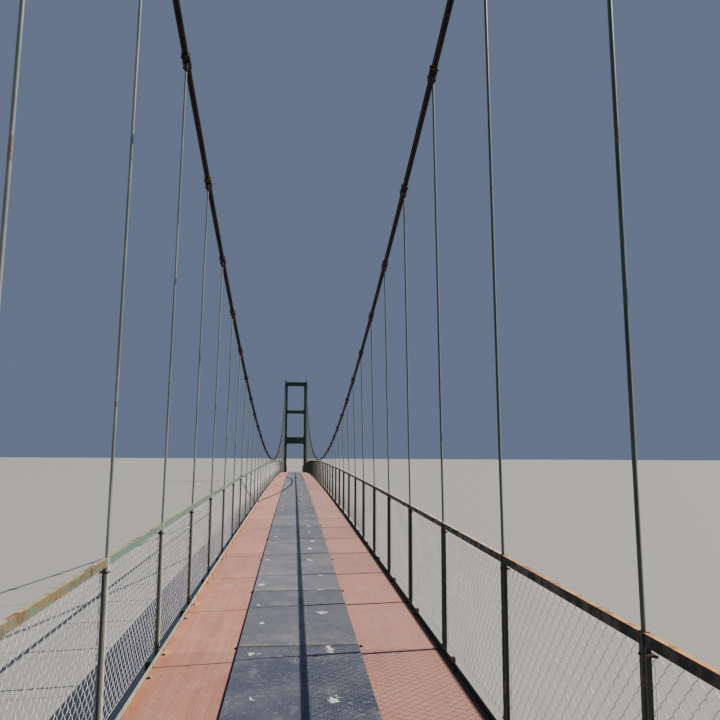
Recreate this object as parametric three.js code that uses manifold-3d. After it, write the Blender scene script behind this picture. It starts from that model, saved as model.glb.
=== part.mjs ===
// A rope suspension footbridge as a 1:10 scale model, in millimetres with +Z up.
// The bridge runs along Y between two steel towers, with its origin on the ground under mid-span.
// Left and right are as a walker sees them who looks along +Y, so left is -X.

import * as THREE from 'three';
import { mergeVertices } from 'three/addons/utils/BufferGeometryUtils.js';
import Module from 'manifold-3d';

const wasm = await Module();
wasm.setup();

// One real metre in the model, and the clearance that neighbouring pieces keep.
const metre = 100;
const gap = 0.3;

// Deck: its ends lie at the towers, its middle is arched upwards.
const span = 100 * metre;
const bay = 2 * metre;
const deckLevel = 1.0 * metre;
const camber = 0.648 * metre;
const deckHalfWidth = 1.265 * metre;
const deckEnd = span / 2 - 0.28 * metre;
const endBeamPlace = deckEnd - 0.15 * metre;
const plateThickness = 0.8;
const stripHalfWidth = 0.555 * metre;
const stripThickness = 1.2;
const stripShift = -0.04 * metre;

// Steelwork under the deck.
const stringerDepth = 10;
const stringerWidth = 6;
const stringerPlaces = [-1.25, -0.62, 0, 0.62, 1.25].map((place) => place * metre);
const floorBeamDepth = 12;
const floorBeamWidth = 6;
const floorBeamHalfLength = 1.40 * metre;
const notchDepth = 3;

// Railing: a top angle on angle posts, a curb angle along the deck and rods up to the cable.
const railHeight = 1.145 * metre;
const railInside = 1.285 * metre;
const railDepth = 5;
const railWidth = 3;
const angleThickness = 0.6;
const postInside = 1.288 * metre;
const postSize = 3.5;
const curbInside = deckHalfWidth + gap;
const curbHeight = 5;
const hangerRadius = 1.0;
const hangerFoot = 1.303 * metre;
const meshInside = 1.327 * metre;
const meshThickness = 0.8;
const meshDrop = 5;
const meshTopDrop = 1;

// Main cables: two ropes side by side on each side of the deck.
const cablePlace = 1.241 * metre;
const cableLow = 1.879 * metre;
const cableHigh = 11.35 * metre;
const cableSquareRise = 0.003366;
const ropeRadius = 1.6;
const saddleRadius = 0.36 * metre;
const saddleTurns = [-23, -11.5, 0, 17.5, 35].map((angle) => angle * (Math.PI / 180));

// Towers: two tapered legs of H section with three cross beams.
const legDepth = 40;
const legFlange = 4;
const legWeb = 3;
const legTop = 11.10 * metre;
const legFoot = { outside: 1.51 * metre, inside: 1.04 * metre };
const legHead = { outside: 1.38 * metre, inside: 1.02 * metre };
const basePlate = { width: 60, depth: 56, height: 3 };
const beamDepth = 26;
const beamFlange = 2;
const beamWeb = 2;
const crossBeams = [
  { name: 'portal_beam', low: 3.50 * metre, high: 4.30 * metre },
  { name: 'middle_beam', low: 7.20 * metre, high: 7.60 * metre },
  { name: 'top_beam', low: 10.62 * metre, high: 11.10 * metre },
];

// Saddles, abutments and anchor blocks.
const saddleCheekLength = 20;
const saddleWidth = 7;
const saddleCheek = 1.5;
const saddleCheekRise = 3;
const abutment = { front: 49.3 * metre, back: 54.5 * metre, halfWidth: 2.0 * metre };
const anchor = { front: 65 * metre, back: 67.6 * metre, height: 1.6 * metre, halfWidth: 0.6 * metre };
const anchorPlace = 1.7 * metre;
const anchorEntry = 1.05 * metre;

const paint = {
  plate: new THREE.MeshStandardMaterial({ color: 0xb98470, roughness: 0.7, metalness: 0.1 }),
  strip: new THREE.MeshStandardMaterial({ color: 0x636b75, roughness: 0.6, metalness: 0.3 }),
  frame: new THREE.MeshStandardMaterial({ color: 0x3a2f2b, roughness: 0.7, metalness: 0.2 }),
  railing: new THREE.MeshStandardMaterial({ color: 0x3f5a50, roughness: 0.6, metalness: 0.2 }),
  mesh: new THREE.MeshStandardMaterial({ color: 0x9aa0a6, roughness: 0.5, metalness: 0.6 }),
  tower: new THREE.MeshStandardMaterial({ color: 0x1f4a40, roughness: 0.6, metalness: 0.2 }),
  cable: new THREE.MeshStandardMaterial({ color: 0x3b3431, roughness: 0.8, metalness: 0.4 }),
  saddle: new THREE.MeshStandardMaterial({ color: 0x4a4f50, roughness: 0.6, metalness: 0.5 }),
  concrete: new THREE.MeshStandardMaterial({ color: 0xa8a49b, roughness: 0.9, metalness: 0 }),
};

const bridge = new THREE.Group();

function addPiece(name, geometry, material) {
  const piece = new THREE.Mesh(geometry, material);
  piece.name = name;
  bridge.add(piece);
}

function solidOf(geometry) {
  const bare = geometry.clone();
  bare.deleteAttribute('normal');
  bare.deleteAttribute('uv');
  const merged = mergeVertices(bare, 1e-4);
  return new wasm.Manifold(new wasm.Mesh({
    numProp: 3,
    vertProperties: new Float32Array(merged.attributes.position.array),
    triVerts: new Uint32Array(merged.index.array),
  }));
}

function fuse(geometries) {
  const mesh = geometries.map(solidOf).reduce((whole, part) => whole.add(part)).getMesh();
  const fused = new THREE.BufferGeometry();
  fused.setAttribute('position', new THREE.BufferAttribute(mesh.vertProperties, 3));
  fused.setIndex(new THREE.BufferAttribute(mesh.triVerts, 1));
  fused.computeVertexNormals();
  return fused;
}

function block(low, high) {
  const size = high.map((value, i) => value - low[i]);
  return new THREE.BoxGeometry(...size).translate(...low.map((value, i) => value + size[i] / 2));
}

// An outline of [across, up] points carried through stations along Y. A station's lean turns
// its outline back from the vertical, as a cable's cut turns with the slope of the cable.
function carry(outline, stations) {
  const last = stations.length - 1;
  const shape = new THREE.Shape(outline.map(([across, up]) => new THREE.Vector2(across, up)));
  const geometry = new THREE.ExtrudeGeometry(shape, { depth: last, steps: last, bevelEnabled: false });
  const points = geometry.attributes.position;
  for (let i = 0; i < points.count; i += 1) {
    const { x = 0, y, z, lean = 0 } = stations[last - Math.round(points.getZ(i))];
    const up = points.getY(i);
    points.setXYZ(i, x + points.getX(i), y - up * Math.sin(lean), z + up * Math.cos(lean));
  }
  return geometry;
}

function rectangle(x0, x1, z0, z1) {
  return [[x0, z0], [x1, z0], [x1, z1], [x0, z1]];
}

function mirrored(side, outline) {
  return side > 0 ? outline : outline.map(([x, z]) => [-x, z]).reverse();
}

// Places of the hangers, and the deck and cable heights above the ground there.
const hangerCount = span / bay - 1;
const hangerLines = Array.from({ length: hangerCount }, (_, i) => (i + 1) * bay - span / 2);
const lastLine = hangerLines[hangerCount - 1];

function archHeight(y) {
  return deckLevel + camber * (1 - (y / (span / 2)) ** 2);
}

function deckHeight(y) {
  const away = Math.abs(y);
  if (away >= lastLine) {
    return THREE.MathUtils.mapLinear(away, lastLine, deckEnd, archHeight(lastLine), deckLevel);
  }
  const start = Math.floor(away / bay) * bay;
  return THREE.MathUtils.mapLinear(away, start, start + bay, archHeight(start), archHeight(start + bay));
}

function cableHeight(y) {
  const half = span / 2;
  const squareRise = (cableSquareRise / metre) * y * y;
  const lastPart = cableHigh - cableLow - (cableSquareRise / metre) * half * half;
  return deckLevel + cableLow + squareRise + lastPart * (y / half) ** 4;
}

function cableSlope(y) {
  return (cableHeight(y + 1) - cableHeight(y - 1)) / 2;
}

// The deck comes in five lengths that meet half way between two hangers.
const joints = [-deckEnd, -14.5 * bay, -4.5 * bay, 4.5 * bay, 14.5 * bay, deckEnd];
const lengths = joints.slice(1).map((end, i) => {
  const from = joints[i] + (i > 0 ? gap / 2 : 0);
  const to = end - (i < joints.length - 2 ? gap / 2 : 0);
  const lines = hangerLines.filter((y) => y > from && y < to);
  const stations = [from, ...lines, to].map((y) => ({ y, z: deckHeight(y) }));
  return { number: i + 1, from, to, lines, stations };
});

function endPlaces({ from, to }, place) {
  return [from === -deckEnd ? [-place] : [], to === deckEnd ? [place] : []].flat();
}

function deckFrame(length) {
  const top = -plateThickness - gap;
  const stringers = stringerPlaces.map((x) => carry(
    rectangle(x - stringerWidth / 2, x + stringerWidth / 2, top - stringerDepth, top), length.stations));
  const beamTop = top - stringerDepth + notchDepth;
  const beams = [...length.lines, ...endPlaces(length, endBeamPlace)].map((y) => block(
    [-floorBeamHalfLength, y - floorBeamWidth / 2, deckHeight(y) + beamTop - floorBeamDepth],
    [floorBeamHalfLength, y + floorBeamWidth / 2, deckHeight(y) + beamTop]));
  return fuse([...stringers, ...beams]);
}

function angleOutline(x, z, outward, upward, thickness = angleThickness) {
  return [[x, z], [x + outward, z], [x + outward, z + thickness * Math.sign(upward)],
    [x + thickness, z + thickness * Math.sign(upward)], [x + thickness, z + upward], [x, z + upward]];
}

function topRail(side, stations) {
  const outline = angleOutline(railInside, railHeight, railWidth, -railDepth).reverse();
  return carry(mirrored(side, outline), stations);
}

function curb(side, stations) {
  const reach = postInside + angleThickness / 2 - curbInside;
  return carry(mirrored(side, angleOutline(curbInside, -plateThickness, reach, curbHeight)), stations);
}

function post(side, y) {
  const foot = -plateThickness - stringerDepth + notchDepth;
  const outline = angleOutline(postInside, -postSize / 2, postSize, postSize);
  const shape = new THREE.Shape(mirrored(side, outline).map(([x, along]) => new THREE.Vector2(x, along)));
  const height = railHeight - angleThickness / 2 - foot;
  const geometry = new THREE.ExtrudeGeometry(shape, { depth: height, bevelEnabled: false });
  return geometry.translate(0, y, deckHeight(y) + foot);
}

function rodBetween(low, high, radius) {
  const along = high.clone().sub(low);
  const rod = new THREE.CylinderGeometry(radius, radius, along.length(), 4);
  const turn = new THREE.Quaternion().setFromUnitVectors(new THREE.Vector3(0, 1, 0), along.clone().normalize());
  return rod.applyQuaternion(turn).translate(...low.clone().add(high).multiplyScalar(0.5).toArray());
}

function hanger(side, y) {
  const foot = deckHeight(y) + railHeight - angleThickness / 2;
  const slope = Math.abs(cableSlope(y));
  const lean = (hangerFoot - cablePlace) / (cableHeight(y) - ropeRadius - foot);
  const underCable = ropeRadius * Math.hypot(1, slope) + hangerRadius * (slope + lean) + gap;
  const low = new THREE.Vector3(side * hangerFoot, y, foot);
  const high = new THREE.Vector3(side * cablePlace, y, cableHeight(y) - underCable);
  return rodBetween(low, high, hangerRadius);
}

function railing(side, length) {
  const postPlaces = [...length.lines, ...endPlaces(length, deckEnd - postSize / 2)];
  return fuse([
    topRail(side, length.stations),
    curb(side, length.stations),
    ...postPlaces.map((y) => post(side, y)),
    ...length.lines.map((y) => hanger(side, y)),
  ]);
}

function meshSheet(side, stations) {
  const outline = rectangle(meshInside, meshInside + meshThickness, -meshDrop, railHeight - meshTopDrop);
  return carry(mirrored(side, outline), stations);
}

// Where the ropes turn over a saddle, seen from mid-span: how far out, how high and how steep.
function overSaddle(clearance) {
  return saddleTurns.map((turn) => ({
    out: (saddleRadius - clearance) * Math.sin(turn),
    z: deckLevel + cableHigh - saddleRadius + (saddleRadius - clearance) * Math.cos(turn),
    turn,
  }));
}

function mainCable(side) {
  const stations = hangerLines.map((y) => ({
    x: side * cablePlace, y, z: cableHeight(y), lean: Math.atan(cableSlope(y)),
  }));
  for (const end of [-1, 1]) {
    const turns = overSaddle(0).map(({ out, z, turn }) => ({
      x: side * cablePlace, y: end * (span / 2 + out), z, lean: -end * turn,
    }));
    const outer = [...turns, { x: side * anchorPlace, y: end * (anchor.front - gap), z: anchorEntry }];
    if (end > 0) stations.push(...outer);
    else stations.unshift(...outer.reverse());
  }
  const outline = [[-2 * ropeRadius, 0], [-ropeRadius, -ropeRadius], [ropeRadius, -ropeRadius],
    [2 * ropeRadius, 0], [ropeRadius, ropeRadius], [-ropeRadius, ropeRadius]];
  return carry(outline, stations);
}

// A tapered plate between two heights, from [x0, x1] at the foot to [x0, x1] at the head.
function taperedPlate(foot, head, low, high, depth) {
  const corners = [[foot[0], low], [foot[1], low], [head[1], high], [head[0], high]];
  return carry(corners, [{ y: -depth / 2, z: 0 }, { y: depth / 2, z: 0 }]);
}

function towerLeg(side, towerPlace) {
  const low = deckLevel + gap;
  const high = deckLevel + legTop;
  const sorted = (a, b) => [side * a, side * b].sort((p, q) => p - q);
  const inner = [sorted(legFoot.inside, legFoot.inside + legFlange), sorted(legHead.inside, legHead.inside + legFlange)];
  const outer = [sorted(legFoot.outside - legFlange, legFoot.outside),
    sorted(legHead.outside - legFlange, legHead.outside)];
  const web = [sorted(legFoot.inside, legFoot.outside), sorted(legHead.inside, legHead.outside)];
  const middle = side * (legFoot.inside + legFoot.outside) / 2;
  return fuse([
    taperedPlate(...inner, low, high, legDepth),
    taperedPlate(...outer, low, high, legDepth),
    taperedPlate(...web, low, high, legWeb),
    block([middle - basePlate.width / 2, -basePlate.depth / 2, low],
      [middle + basePlate.width / 2, basePlate.depth / 2, low + basePlate.height]),
    block([Math.min(side * legHead.inside, side * legHead.outside), -legDepth / 2, high - basePlate.height],
      [Math.max(side * legHead.inside, side * legHead.outside), legDepth / 2, high]),
  ]).translate(0, towerPlace, 0);
}

function legInsideAt(height) {
  return THREE.MathUtils.mapLinear(height, 0, legTop, legFoot.inside, legHead.inside);
}

function crossBeam({ low, high }, towerPlace) {
  const half = legInsideAt(high) - gap;
  const flangeEdge = beamDepth / 2;
  const webEdge = beamWeb / 2;
  const outline = [[-flangeEdge, low], [flangeEdge, low], [flangeEdge, low + beamFlange], [webEdge, low + beamFlange],
    [webEdge, high - beamFlange], [flangeEdge, high - beamFlange], [flangeEdge, high], [-flangeEdge, high],
    [-flangeEdge, high - beamFlange], [-webEdge, high - beamFlange], [-webEdge, low + beamFlange],
    [-flangeEdge, low + beamFlange]];
  const beam = carry(outline, [{ y: -half, z: 0 }, { y: half, z: 0 }]);
  return beam.rotateZ(Math.PI / 2).translate(0, towerPlace, deckLevel);
}

// A saddle's block has a rounded back that the ropes lie over, between two cheeks.
function saddle(side, end) {
  const low = deckLevel + legTop + gap;
  const back = overSaddle(ropeRadius + gap).map(({ out, z }) => [out, z - low]);
  const outline = [[back[0][0], 0], [back.at(-1)[0], 0], ...back.reverse()];
  const half = saddleWidth / 2 + saddleCheek;
  const body = carry(outline, [{ y: -half, z: 0 }, { y: half, z: 0 }]);
  const cheekHigh = deckLevel + cableHigh + ropeRadius + saddleCheekRise - low;
  const cheeks = [-1, 1].map((edge) => {
    const across = [edge * saddleWidth / 2, edge * half].sort((p, q) => p - q);
    return block([-saddleCheekLength / 2, across[0], 1], [saddleCheekLength / 2, across[1], cheekHigh]);
  });
  return fuse([body, ...cheeks]).rotateZ(end * Math.PI / 2).translate(side * cablePlace, end * span / 2, low);
}

function abutmentBlock(end) {
  const frameFoot = plateThickness + gap + stringerDepth - notchDepth + floorBeamDepth;
  const ledge = deckHeight(endBeamPlace) - frameFoot - gap;
  const wall = deckEnd + gap;
  const { front, back, halfWidth } = abutment;
  const outline = [[front, 0], [back, 0], [back, deckLevel], [wall, deckLevel], [wall, ledge], [front, ledge]];
  const geometry = carry(outline, [{ y: -halfWidth, z: 0 }, { y: halfWidth, z: 0 }]);
  return geometry.rotateZ(end > 0 ? Math.PI / 2 : -Math.PI / 2);
}

function anchorBlock(side, end) {
  const { front, back, height, halfWidth } = anchor;
  const middle = side * anchorPlace;
  return block([middle - halfWidth, Math.min(end * front, end * back), 0],
    [middle + halfWidth, Math.max(end * front, end * back), height]);
}

const sides = [{ name: 'left', side: -1 }, { name: 'right', side: 1 }];
const ends = [{ name: 'near', end: -1 }, { name: 'far', end: 1 }];

for (const length of lengths) {
  const inPlates = rectangle(-deckHalfWidth, deckHalfWidth, -plateThickness, 0);
  const inStrip = rectangle(stripShift - stripHalfWidth, stripShift + stripHalfWidth, gap, gap + stripThickness);
  addPiece(`deck_frame_${length.number}`, deckFrame(length), paint.frame);
  addPiece(`deck_plates_${length.number}`, carry(inPlates, length.stations), paint.plate);
  addPiece(`centre_strip_${length.number}`, carry(inStrip, length.stations), paint.strip);
  for (const { name, side } of sides) {
    addPiece(`${name}_railing_${length.number}`, railing(side, length), paint.railing);
    addPiece(`${name}_mesh_${length.number}`, meshSheet(side, length.stations), paint.mesh);
  }
}

for (const { name, side } of sides) {
  addPiece(`${name}_main_cable`, mainCable(side), paint.cable);
}

for (const { name: endName, end } of ends) {
  const towerPlace = end * span / 2;
  addPiece(`${endName}_abutment`, abutmentBlock(end), paint.concrete);
  for (const beam of crossBeams) {
    addPiece(`${endName}_${beam.name}`, crossBeam(beam, towerPlace), paint.tower);
  }
  for (const { name, side } of sides) {
    addPiece(`${endName}_${name}_leg`, towerLeg(side, towerPlace), paint.tower);
    addPiece(`${endName}_${name}_saddle`, saddle(side, end), paint.saddle);
    addPiece(`${endName}_${name}_anchor`, anchorBlock(side, end), paint.concrete);
  }
}

export default bridge;
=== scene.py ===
"""Looks, light and camera of the rope suspension footbridge, a 1:10 scale model.

Sizes in this file are in metres of the real bridge, with heights above the deck's ends, unless a
comment says otherwise. REAL turns them into the scene's metres. The bridge runs along Y, left is -X.
"""

import math

import bmesh
import bpy
from bpy.props import FloatProperty, FloatVectorProperty, PointerProperty
from mathutils import Matrix, Vector


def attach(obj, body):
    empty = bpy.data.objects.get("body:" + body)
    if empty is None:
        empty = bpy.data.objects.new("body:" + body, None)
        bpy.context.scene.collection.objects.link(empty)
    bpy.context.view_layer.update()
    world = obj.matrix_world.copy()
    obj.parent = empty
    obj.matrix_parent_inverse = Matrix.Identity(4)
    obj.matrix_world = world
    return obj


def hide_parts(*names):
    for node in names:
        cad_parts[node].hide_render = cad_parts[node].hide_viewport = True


bl_info = {
    "name": "Suspension footbridge looks",
    "version": (1, 0, 0),
    "blender": (4, 5, 0),
    "location": "3D Viewport > Sidebar > Footbridge",
    "description": "Dresses a steel rope footbridge with plates, railings, woven wire, ropes and paint",
    "category": "Object",
}

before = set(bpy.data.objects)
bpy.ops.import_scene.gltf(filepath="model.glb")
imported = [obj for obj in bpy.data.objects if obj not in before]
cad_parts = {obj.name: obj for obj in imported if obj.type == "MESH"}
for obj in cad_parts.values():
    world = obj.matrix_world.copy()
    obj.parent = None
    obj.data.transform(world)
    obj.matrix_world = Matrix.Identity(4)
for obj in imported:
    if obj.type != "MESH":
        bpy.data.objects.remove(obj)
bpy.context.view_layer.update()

# The model's scale, and how high the deck's ends lie above the floor.
REAL = 0.1
LEVEL = 1.0

# The two sides and the two ends, with the sign of their places.
SIDES = {"left": -1, "right": 1}
ENDS = {"near": -1, "far": 1}

# Places along the bridge, from its middle: the towers, the deck's ends, the posts and hangers a bay
# apart, one seam of the walking strip, and where the five lengths of the deck and railings meet.
# NUMBERS are what the solids of those lengths are numbered by.
TOWER = 50
DECK_END = 49.72
BAY = 2.0
LINES = [BAY * i for i in range(-24, 25)]
BAYS = list(zip([-DECK_END, *LINES], [*LINES, DECK_END]))
SEAM = -33.9
JOINTS = (-29, -9, 9, 29)
NUMBERS = range(1, len(JOINTS) + 2)

# The deck: half its width and half the walking strip's, the deck's rise at mid-span, and the floor
# beams' upper faces below it.
DECK_HALF = 1.265
STRIP_HALF = 0.5525
CAMBER = 0.648
BEAM_TOP = -0.078

# The railing: its height above the deck, places out from the middle, and sizes of its angles.
RAIL_HEIGHT = 1.145
RAIL_INSIDE = 1.285
RAIL_WIDTH = 0.03
RAIL_DEPTH = 0.05
POST_INSIDE = 1.288
POST_SIZE = 0.035
FLANGE = 0.006
HANGER_FOOT = 1.303

# The woven wire: its place, how many openings high it is, and the stretch near the camera where it
# is made of spirals that hook into each other.
MESH_PLACE = 1.333
MESH_ROWS = 11.5
WOVEN = (-41.0, -26.0)

# The main cables: their place and heights at mid-span and over the towers, the curve between, the
# degrees that they turn over the saddles, and where they enter the anchor blocks.
CABLE_PLACE = 1.241
CABLE_LOW = 1.879
CABLE_HIGH = 11.35
CABLE_CURVE = 0.003366
ROPE_RADIUS = 0.016
SADDLE_RADIUS = 0.36
SADDLE_TURNS = (-23, -11.5, 0, 17.5, 35)
ANCHOR_PLACE = 1.7
ANCHOR_FACE = 65
ANCHOR_RISE = 0.05

# The towers: the top of their legs, and the bottom and top of the portal, middle and top beam.
LEG_TOP = 11.10
TOWER_BEAMS = ((3.50, 4.30), (7.20, 7.60), (10.62, 11.10))


def deck_rise(y):
    """The deck's height, straight between the floor beams that follow its arch."""
    def arch(place):
        return CAMBER * (1 - (place / TOWER) ** 2)

    away = min(abs(y), DECK_END)
    last = LINES[-1]
    if away >= last:
        return arch(last) * (DECK_END - away) / (DECK_END - last)
    start = BAY * math.floor(away / BAY)
    return arch(start) + (arch(start + BAY) - arch(start)) * (away - start) / BAY


def cable_rise(y):
    """The height of a main cable's middle between the towers."""
    rest = CABLE_HIGH - CABLE_LOW - CABLE_CURVE * TOWER ** 2
    return CABLE_LOW + CABLE_CURVE * y * y + rest * (y / TOWER) ** 4


def saddle_point(side, end, degrees):
    """The middle of a main cable where it has turned so far over its saddle."""
    turn = math.radians(degrees)
    out = SADDLE_RADIUS * math.sin(turn)
    up = CABLE_HIGH - SADDLE_RADIUS + SADDLE_RADIUS * math.cos(turn)
    return Vector((side * CABLE_PLACE, end * (TOWER + out), up))


def anchor_point(side, end):
    """The end of a main cable's middle, just off the face of its anchor block."""
    return Vector((side * ANCHOR_PLACE, end * (ANCHOR_FACE - 0.003), ANCHOR_RISE))


def leg_faces(z):
    """How far out the inner and the outer face of a tapered tower leg are."""
    share = z / LEG_TOP
    return 1.04 - 0.02 * share, 1.51 - 0.13 * share


def which_length(y):
    """Which of the deck's five lengths a place is in, counted from 0."""
    return sum(y > joint for joint in JOINTS)


def at(x, y, z):
    """A point of the bridge as a place in the scene."""
    return Vector((x * REAL, y * REAL, (z + LEVEL) * REAL))


def linear(code):
    """A screen colour such as C89682 as linear light."""
    parts = [int(code[i:i + 2], 16) / 255 for i in (0, 2, 4)]
    return tuple(p / 12.92 if p <= 0.04045 else ((p + 0.055) / 1.055) ** 2.4 for p in parts)


def chance(*seeds):
    """A number from 0 to 1 that is always the same for the same seeds."""
    value = math.sin(sum(s * k for s, k in zip(seeds, (12.9898, 78.233, 37.719)))) * 43758.5453
    return value - math.floor(value)


def add(tree, kind, inputs=None, **settings):
    """Adds one node. An input is given a value or the socket that feeds it."""
    node = tree.nodes.new(kind)
    for name, value in settings.items():
        setattr(node, name, value)
    for name, value in (inputs or {}).items():
        if isinstance(value, bpy.types.NodeSocket):
            tree.links.new(value, node.inputs[name])
        else:
            node.inputs[name].default_value = value
    return node


# Shapes

class Shell:
    """Closed forms gathered into one mesh.

    Each face keeps a tone, dark to light, and a wear from 0 to 1, which says how far its paint is worn
    and, on the posts, curbs and right hangers, where painted light and shade are laid.
    """

    def __init__(self):
        self.points = []
        self.faces = []
        self.tones = []
        self.wears_and_lights = []

    def loft(self, rings, tone=0.5, wear_and_light=0.0):
        """A closed form through rings. The wear is one number, or one for each side of a ring."""
        first = len(self.points)
        count = len(rings[0])
        self.points += [tuple(p) for ring in rings for p in ring]
        wears_and_lights = wear_and_light if isinstance(wear_and_light, (list, tuple)) else [wear_and_light] * count
        for i in range(len(rings) - 1):
            for j in range(count):
                a = first + i * count + j
                b = first + i * count + (j + 1) % count
                self.faces.append((a, b, b + count, a + count))
                self.wears_and_lights.append(wears_and_lights[j])
        last = first + (len(rings) - 1) * count
        self.faces.append(tuple(range(first, first + count)))
        self.faces.append(tuple(range(last, last + count)))
        self.wears_and_lights += [max(wears_and_lights)] * 2
        self.tones += [tone] * (len(self.faces) - len(self.tones))

    def along(self, outline, places, tone=0.5, wear_and_light=0.0, drop=0.0):
        """An outline of (across, up) points carried along the deck."""
        self.loft([[(x, y, deck_rise(y) + z - drop) for x, z in outline] for y in places], tone, wear_and_light)

    def box(self, low, high, tone=0.5, wear_and_light=0.0, bevel=0.0):
        """A block, with its four long edges cut back by the bevel."""
        x0, y0, z0 = low
        x1, y1, z1 = high
        outline = [(x0, y0), (x1, y0), (x1, y1), (x0, y1)]
        if bevel:
            outline = [(x0 + bevel, y0), (x1 - bevel, y0), (x1, y0 + bevel), (x1, y1 - bevel),
                       (x1 - bevel, y1), (x0 + bevel, y1), (x0, y1 - bevel), (x0, y0 + bevel)]
        self.loft([[(x, y, z0) for x, y in outline], [(x, y, z1) for x, y in outline]], tone, wear_and_light)

    def round(self, centre, radius, low, high, sides=6, axis=2, tone=0.5, wear_and_light=0.0):
        """A round or hexagonal bar along an axis, from low to high past its centre."""
        rings = []
        for height in (low, high):
            ring = []
            for k in range(sides):
                turn = 2 * math.pi * k / sides
                offset = [radius * math.cos(turn), radius * math.sin(turn)]
                offset.insert(axis, height)
                ring.append(tuple(c + o for c, o in zip(centre, offset)))
            rings.append(ring)
        self.loft(rings, tone, wear_and_light)

    def mesh(self, name, lift=LEVEL, smooth=0.0):
        """The mesh in scene metres. Smooth is the angle in degrees below which edges are rounded."""
        mesh = bpy.data.meshes.new(name)
        points = [(x * REAL, y * REAL, (z + lift) * REAL) for x, y, z in self.points]
        mesh.from_pydata(points, [], self.faces)
        for label, values in (("tone", self.tones), ("wear_and_light", self.wears_and_lights)):
            mesh.attributes.new(label, "FLOAT", "FACE").data.foreach_set("value", values)
        return face_out(mesh, smooth)


def face_out(mesh, smooth):
    """Turns a mesh's faces outward and rounds its edges below an angle in degrees."""
    form = bmesh.new()
    form.from_mesh(mesh)
    bmesh.ops.recalc_face_normals(form, faces=form.faces)
    form.to_mesh(mesh)
    form.free()
    if smooth:
        mesh.shade_smooth()
        mesh.set_sharp_from_angle(angle=math.radians(smooth))
    return mesh


def place(name, mesh, material=None):
    """Puts a mesh into the scene as an object at the origin."""
    if material:
        mesh.materials.clear()
        mesh.materials.append(material)
    thing = bpy.data.objects.new(name, mesh)
    bpy.context.scene.collection.objects.link(thing)
    return thing


def repaint(node, material):
    """Gives a solid of the frame its finish."""
    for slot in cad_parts[node].material_slots:
        slot.material = material


def settle(thing, slot, *nodes):
    """Fixes a finished piece to the bridge."""
    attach(thing, "root")
    if nodes:
        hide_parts(*nodes)


def settle_lengths(name, shells, material, slot, node):
    """One piece for each length of the deck, each in place of the solid of its number."""
    for number, shell in zip(NUMBERS, shells):
        label = f"{name}_{number}"
        settle(place(label, shell.mesh(label.replace("_", " ")), material), slot, f"{node}_{number}")


def angle_outline(x, z, out, up):
    """A rolled angle's outline: its heel at (x, z), one flange out and one up, their toes cut back."""
    o, u = math.copysign(1, out), math.copysign(1, up)
    toe = 0.002
    return [(x, z), (x + out, z), (x + out, z + u * (FLANGE - toe)), (x + out - o * toe, z + u * FLANGE),
            (x + o * FLANGE, z + u * FLANGE), (x + o * FLANGE, z + up - u * toe),
            (x + o * (FLANGE - toe), z + up), (x, z + up)]


# Geometry Nodes

def new_tree(name, inputs):
    """An empty node tree with these named inputs that gives geometry."""
    tree = bpy.data.node_groups.new(name, "GeometryNodeTree")
    for label, kind in inputs.items():
        tree.interface.new_socket(label, in_out="INPUT", socket_type="NodeSocket" + kind)
    tree.interface.new_socket("Geometry", in_out="OUTPUT", socket_type="NodeSocketGeometry")
    return tree


def spread_tree():
    """Copies of one shape on points, each with its own turn, size and tone."""
    tree = new_tree("spread", {
        "Geometry": "Geometry", "Shape": "Object", "Scale": "Float", "Material": "Material"})
    given = add(tree, "NodeGroupInput").outputs
    shape = add(tree, "GeometryNodeObjectInfo", {"Object": given["Shape"]}).outputs["Geometry"]
    turn = add(tree, "GeometryNodeInputNamedAttribute", {
        "Name": "turn"}, data_type="FLOAT_VECTOR").outputs[0]
    size = add(tree, "GeometryNodeInputNamedAttribute", {
        "Name": "size"}, data_type="FLOAT_VECTOR").outputs[0]
    scaled = add(tree, "ShaderNodeVectorMath", {
        0: size, "Scale": given["Scale"]}, operation="SCALE").outputs[0]
    copies = add(tree, "GeometryNodeInstanceOnPoints", {
        "Points": given["Geometry"], "Instance": shape, "Rotation": turn, "Scale": scaled}).outputs[0]
    real = add(tree, "GeometryNodeRealizeInstances", {"Geometry": copies}).outputs[0]
    face = add(tree, "GeometryNodeInputNamedAttribute", {"Name": "tone"}, data_type="FLOAT").outputs[0]
    own = add(tree, "GeometryNodeInputNamedAttribute", {"Name": "own tone"}, data_type="FLOAT").outputs[0]
    tone = add(tree, "ShaderNodeMath", {0: face, 1: own}, operation="ADD").outputs[0]
    toned = add(tree, "GeometryNodeStoreNamedAttribute", {
        "Geometry": real, "Name": "tone", "Value": tone}, data_type="FLOAT", domain="POINT").outputs[0]
    painted = add(tree, "GeometryNodeSetMaterial", {
        "Geometry": toned, "Material": given["Material"]}).outputs[0]
    add(tree, "NodeGroupOutput", {"Geometry": painted})
    return tree


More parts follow.
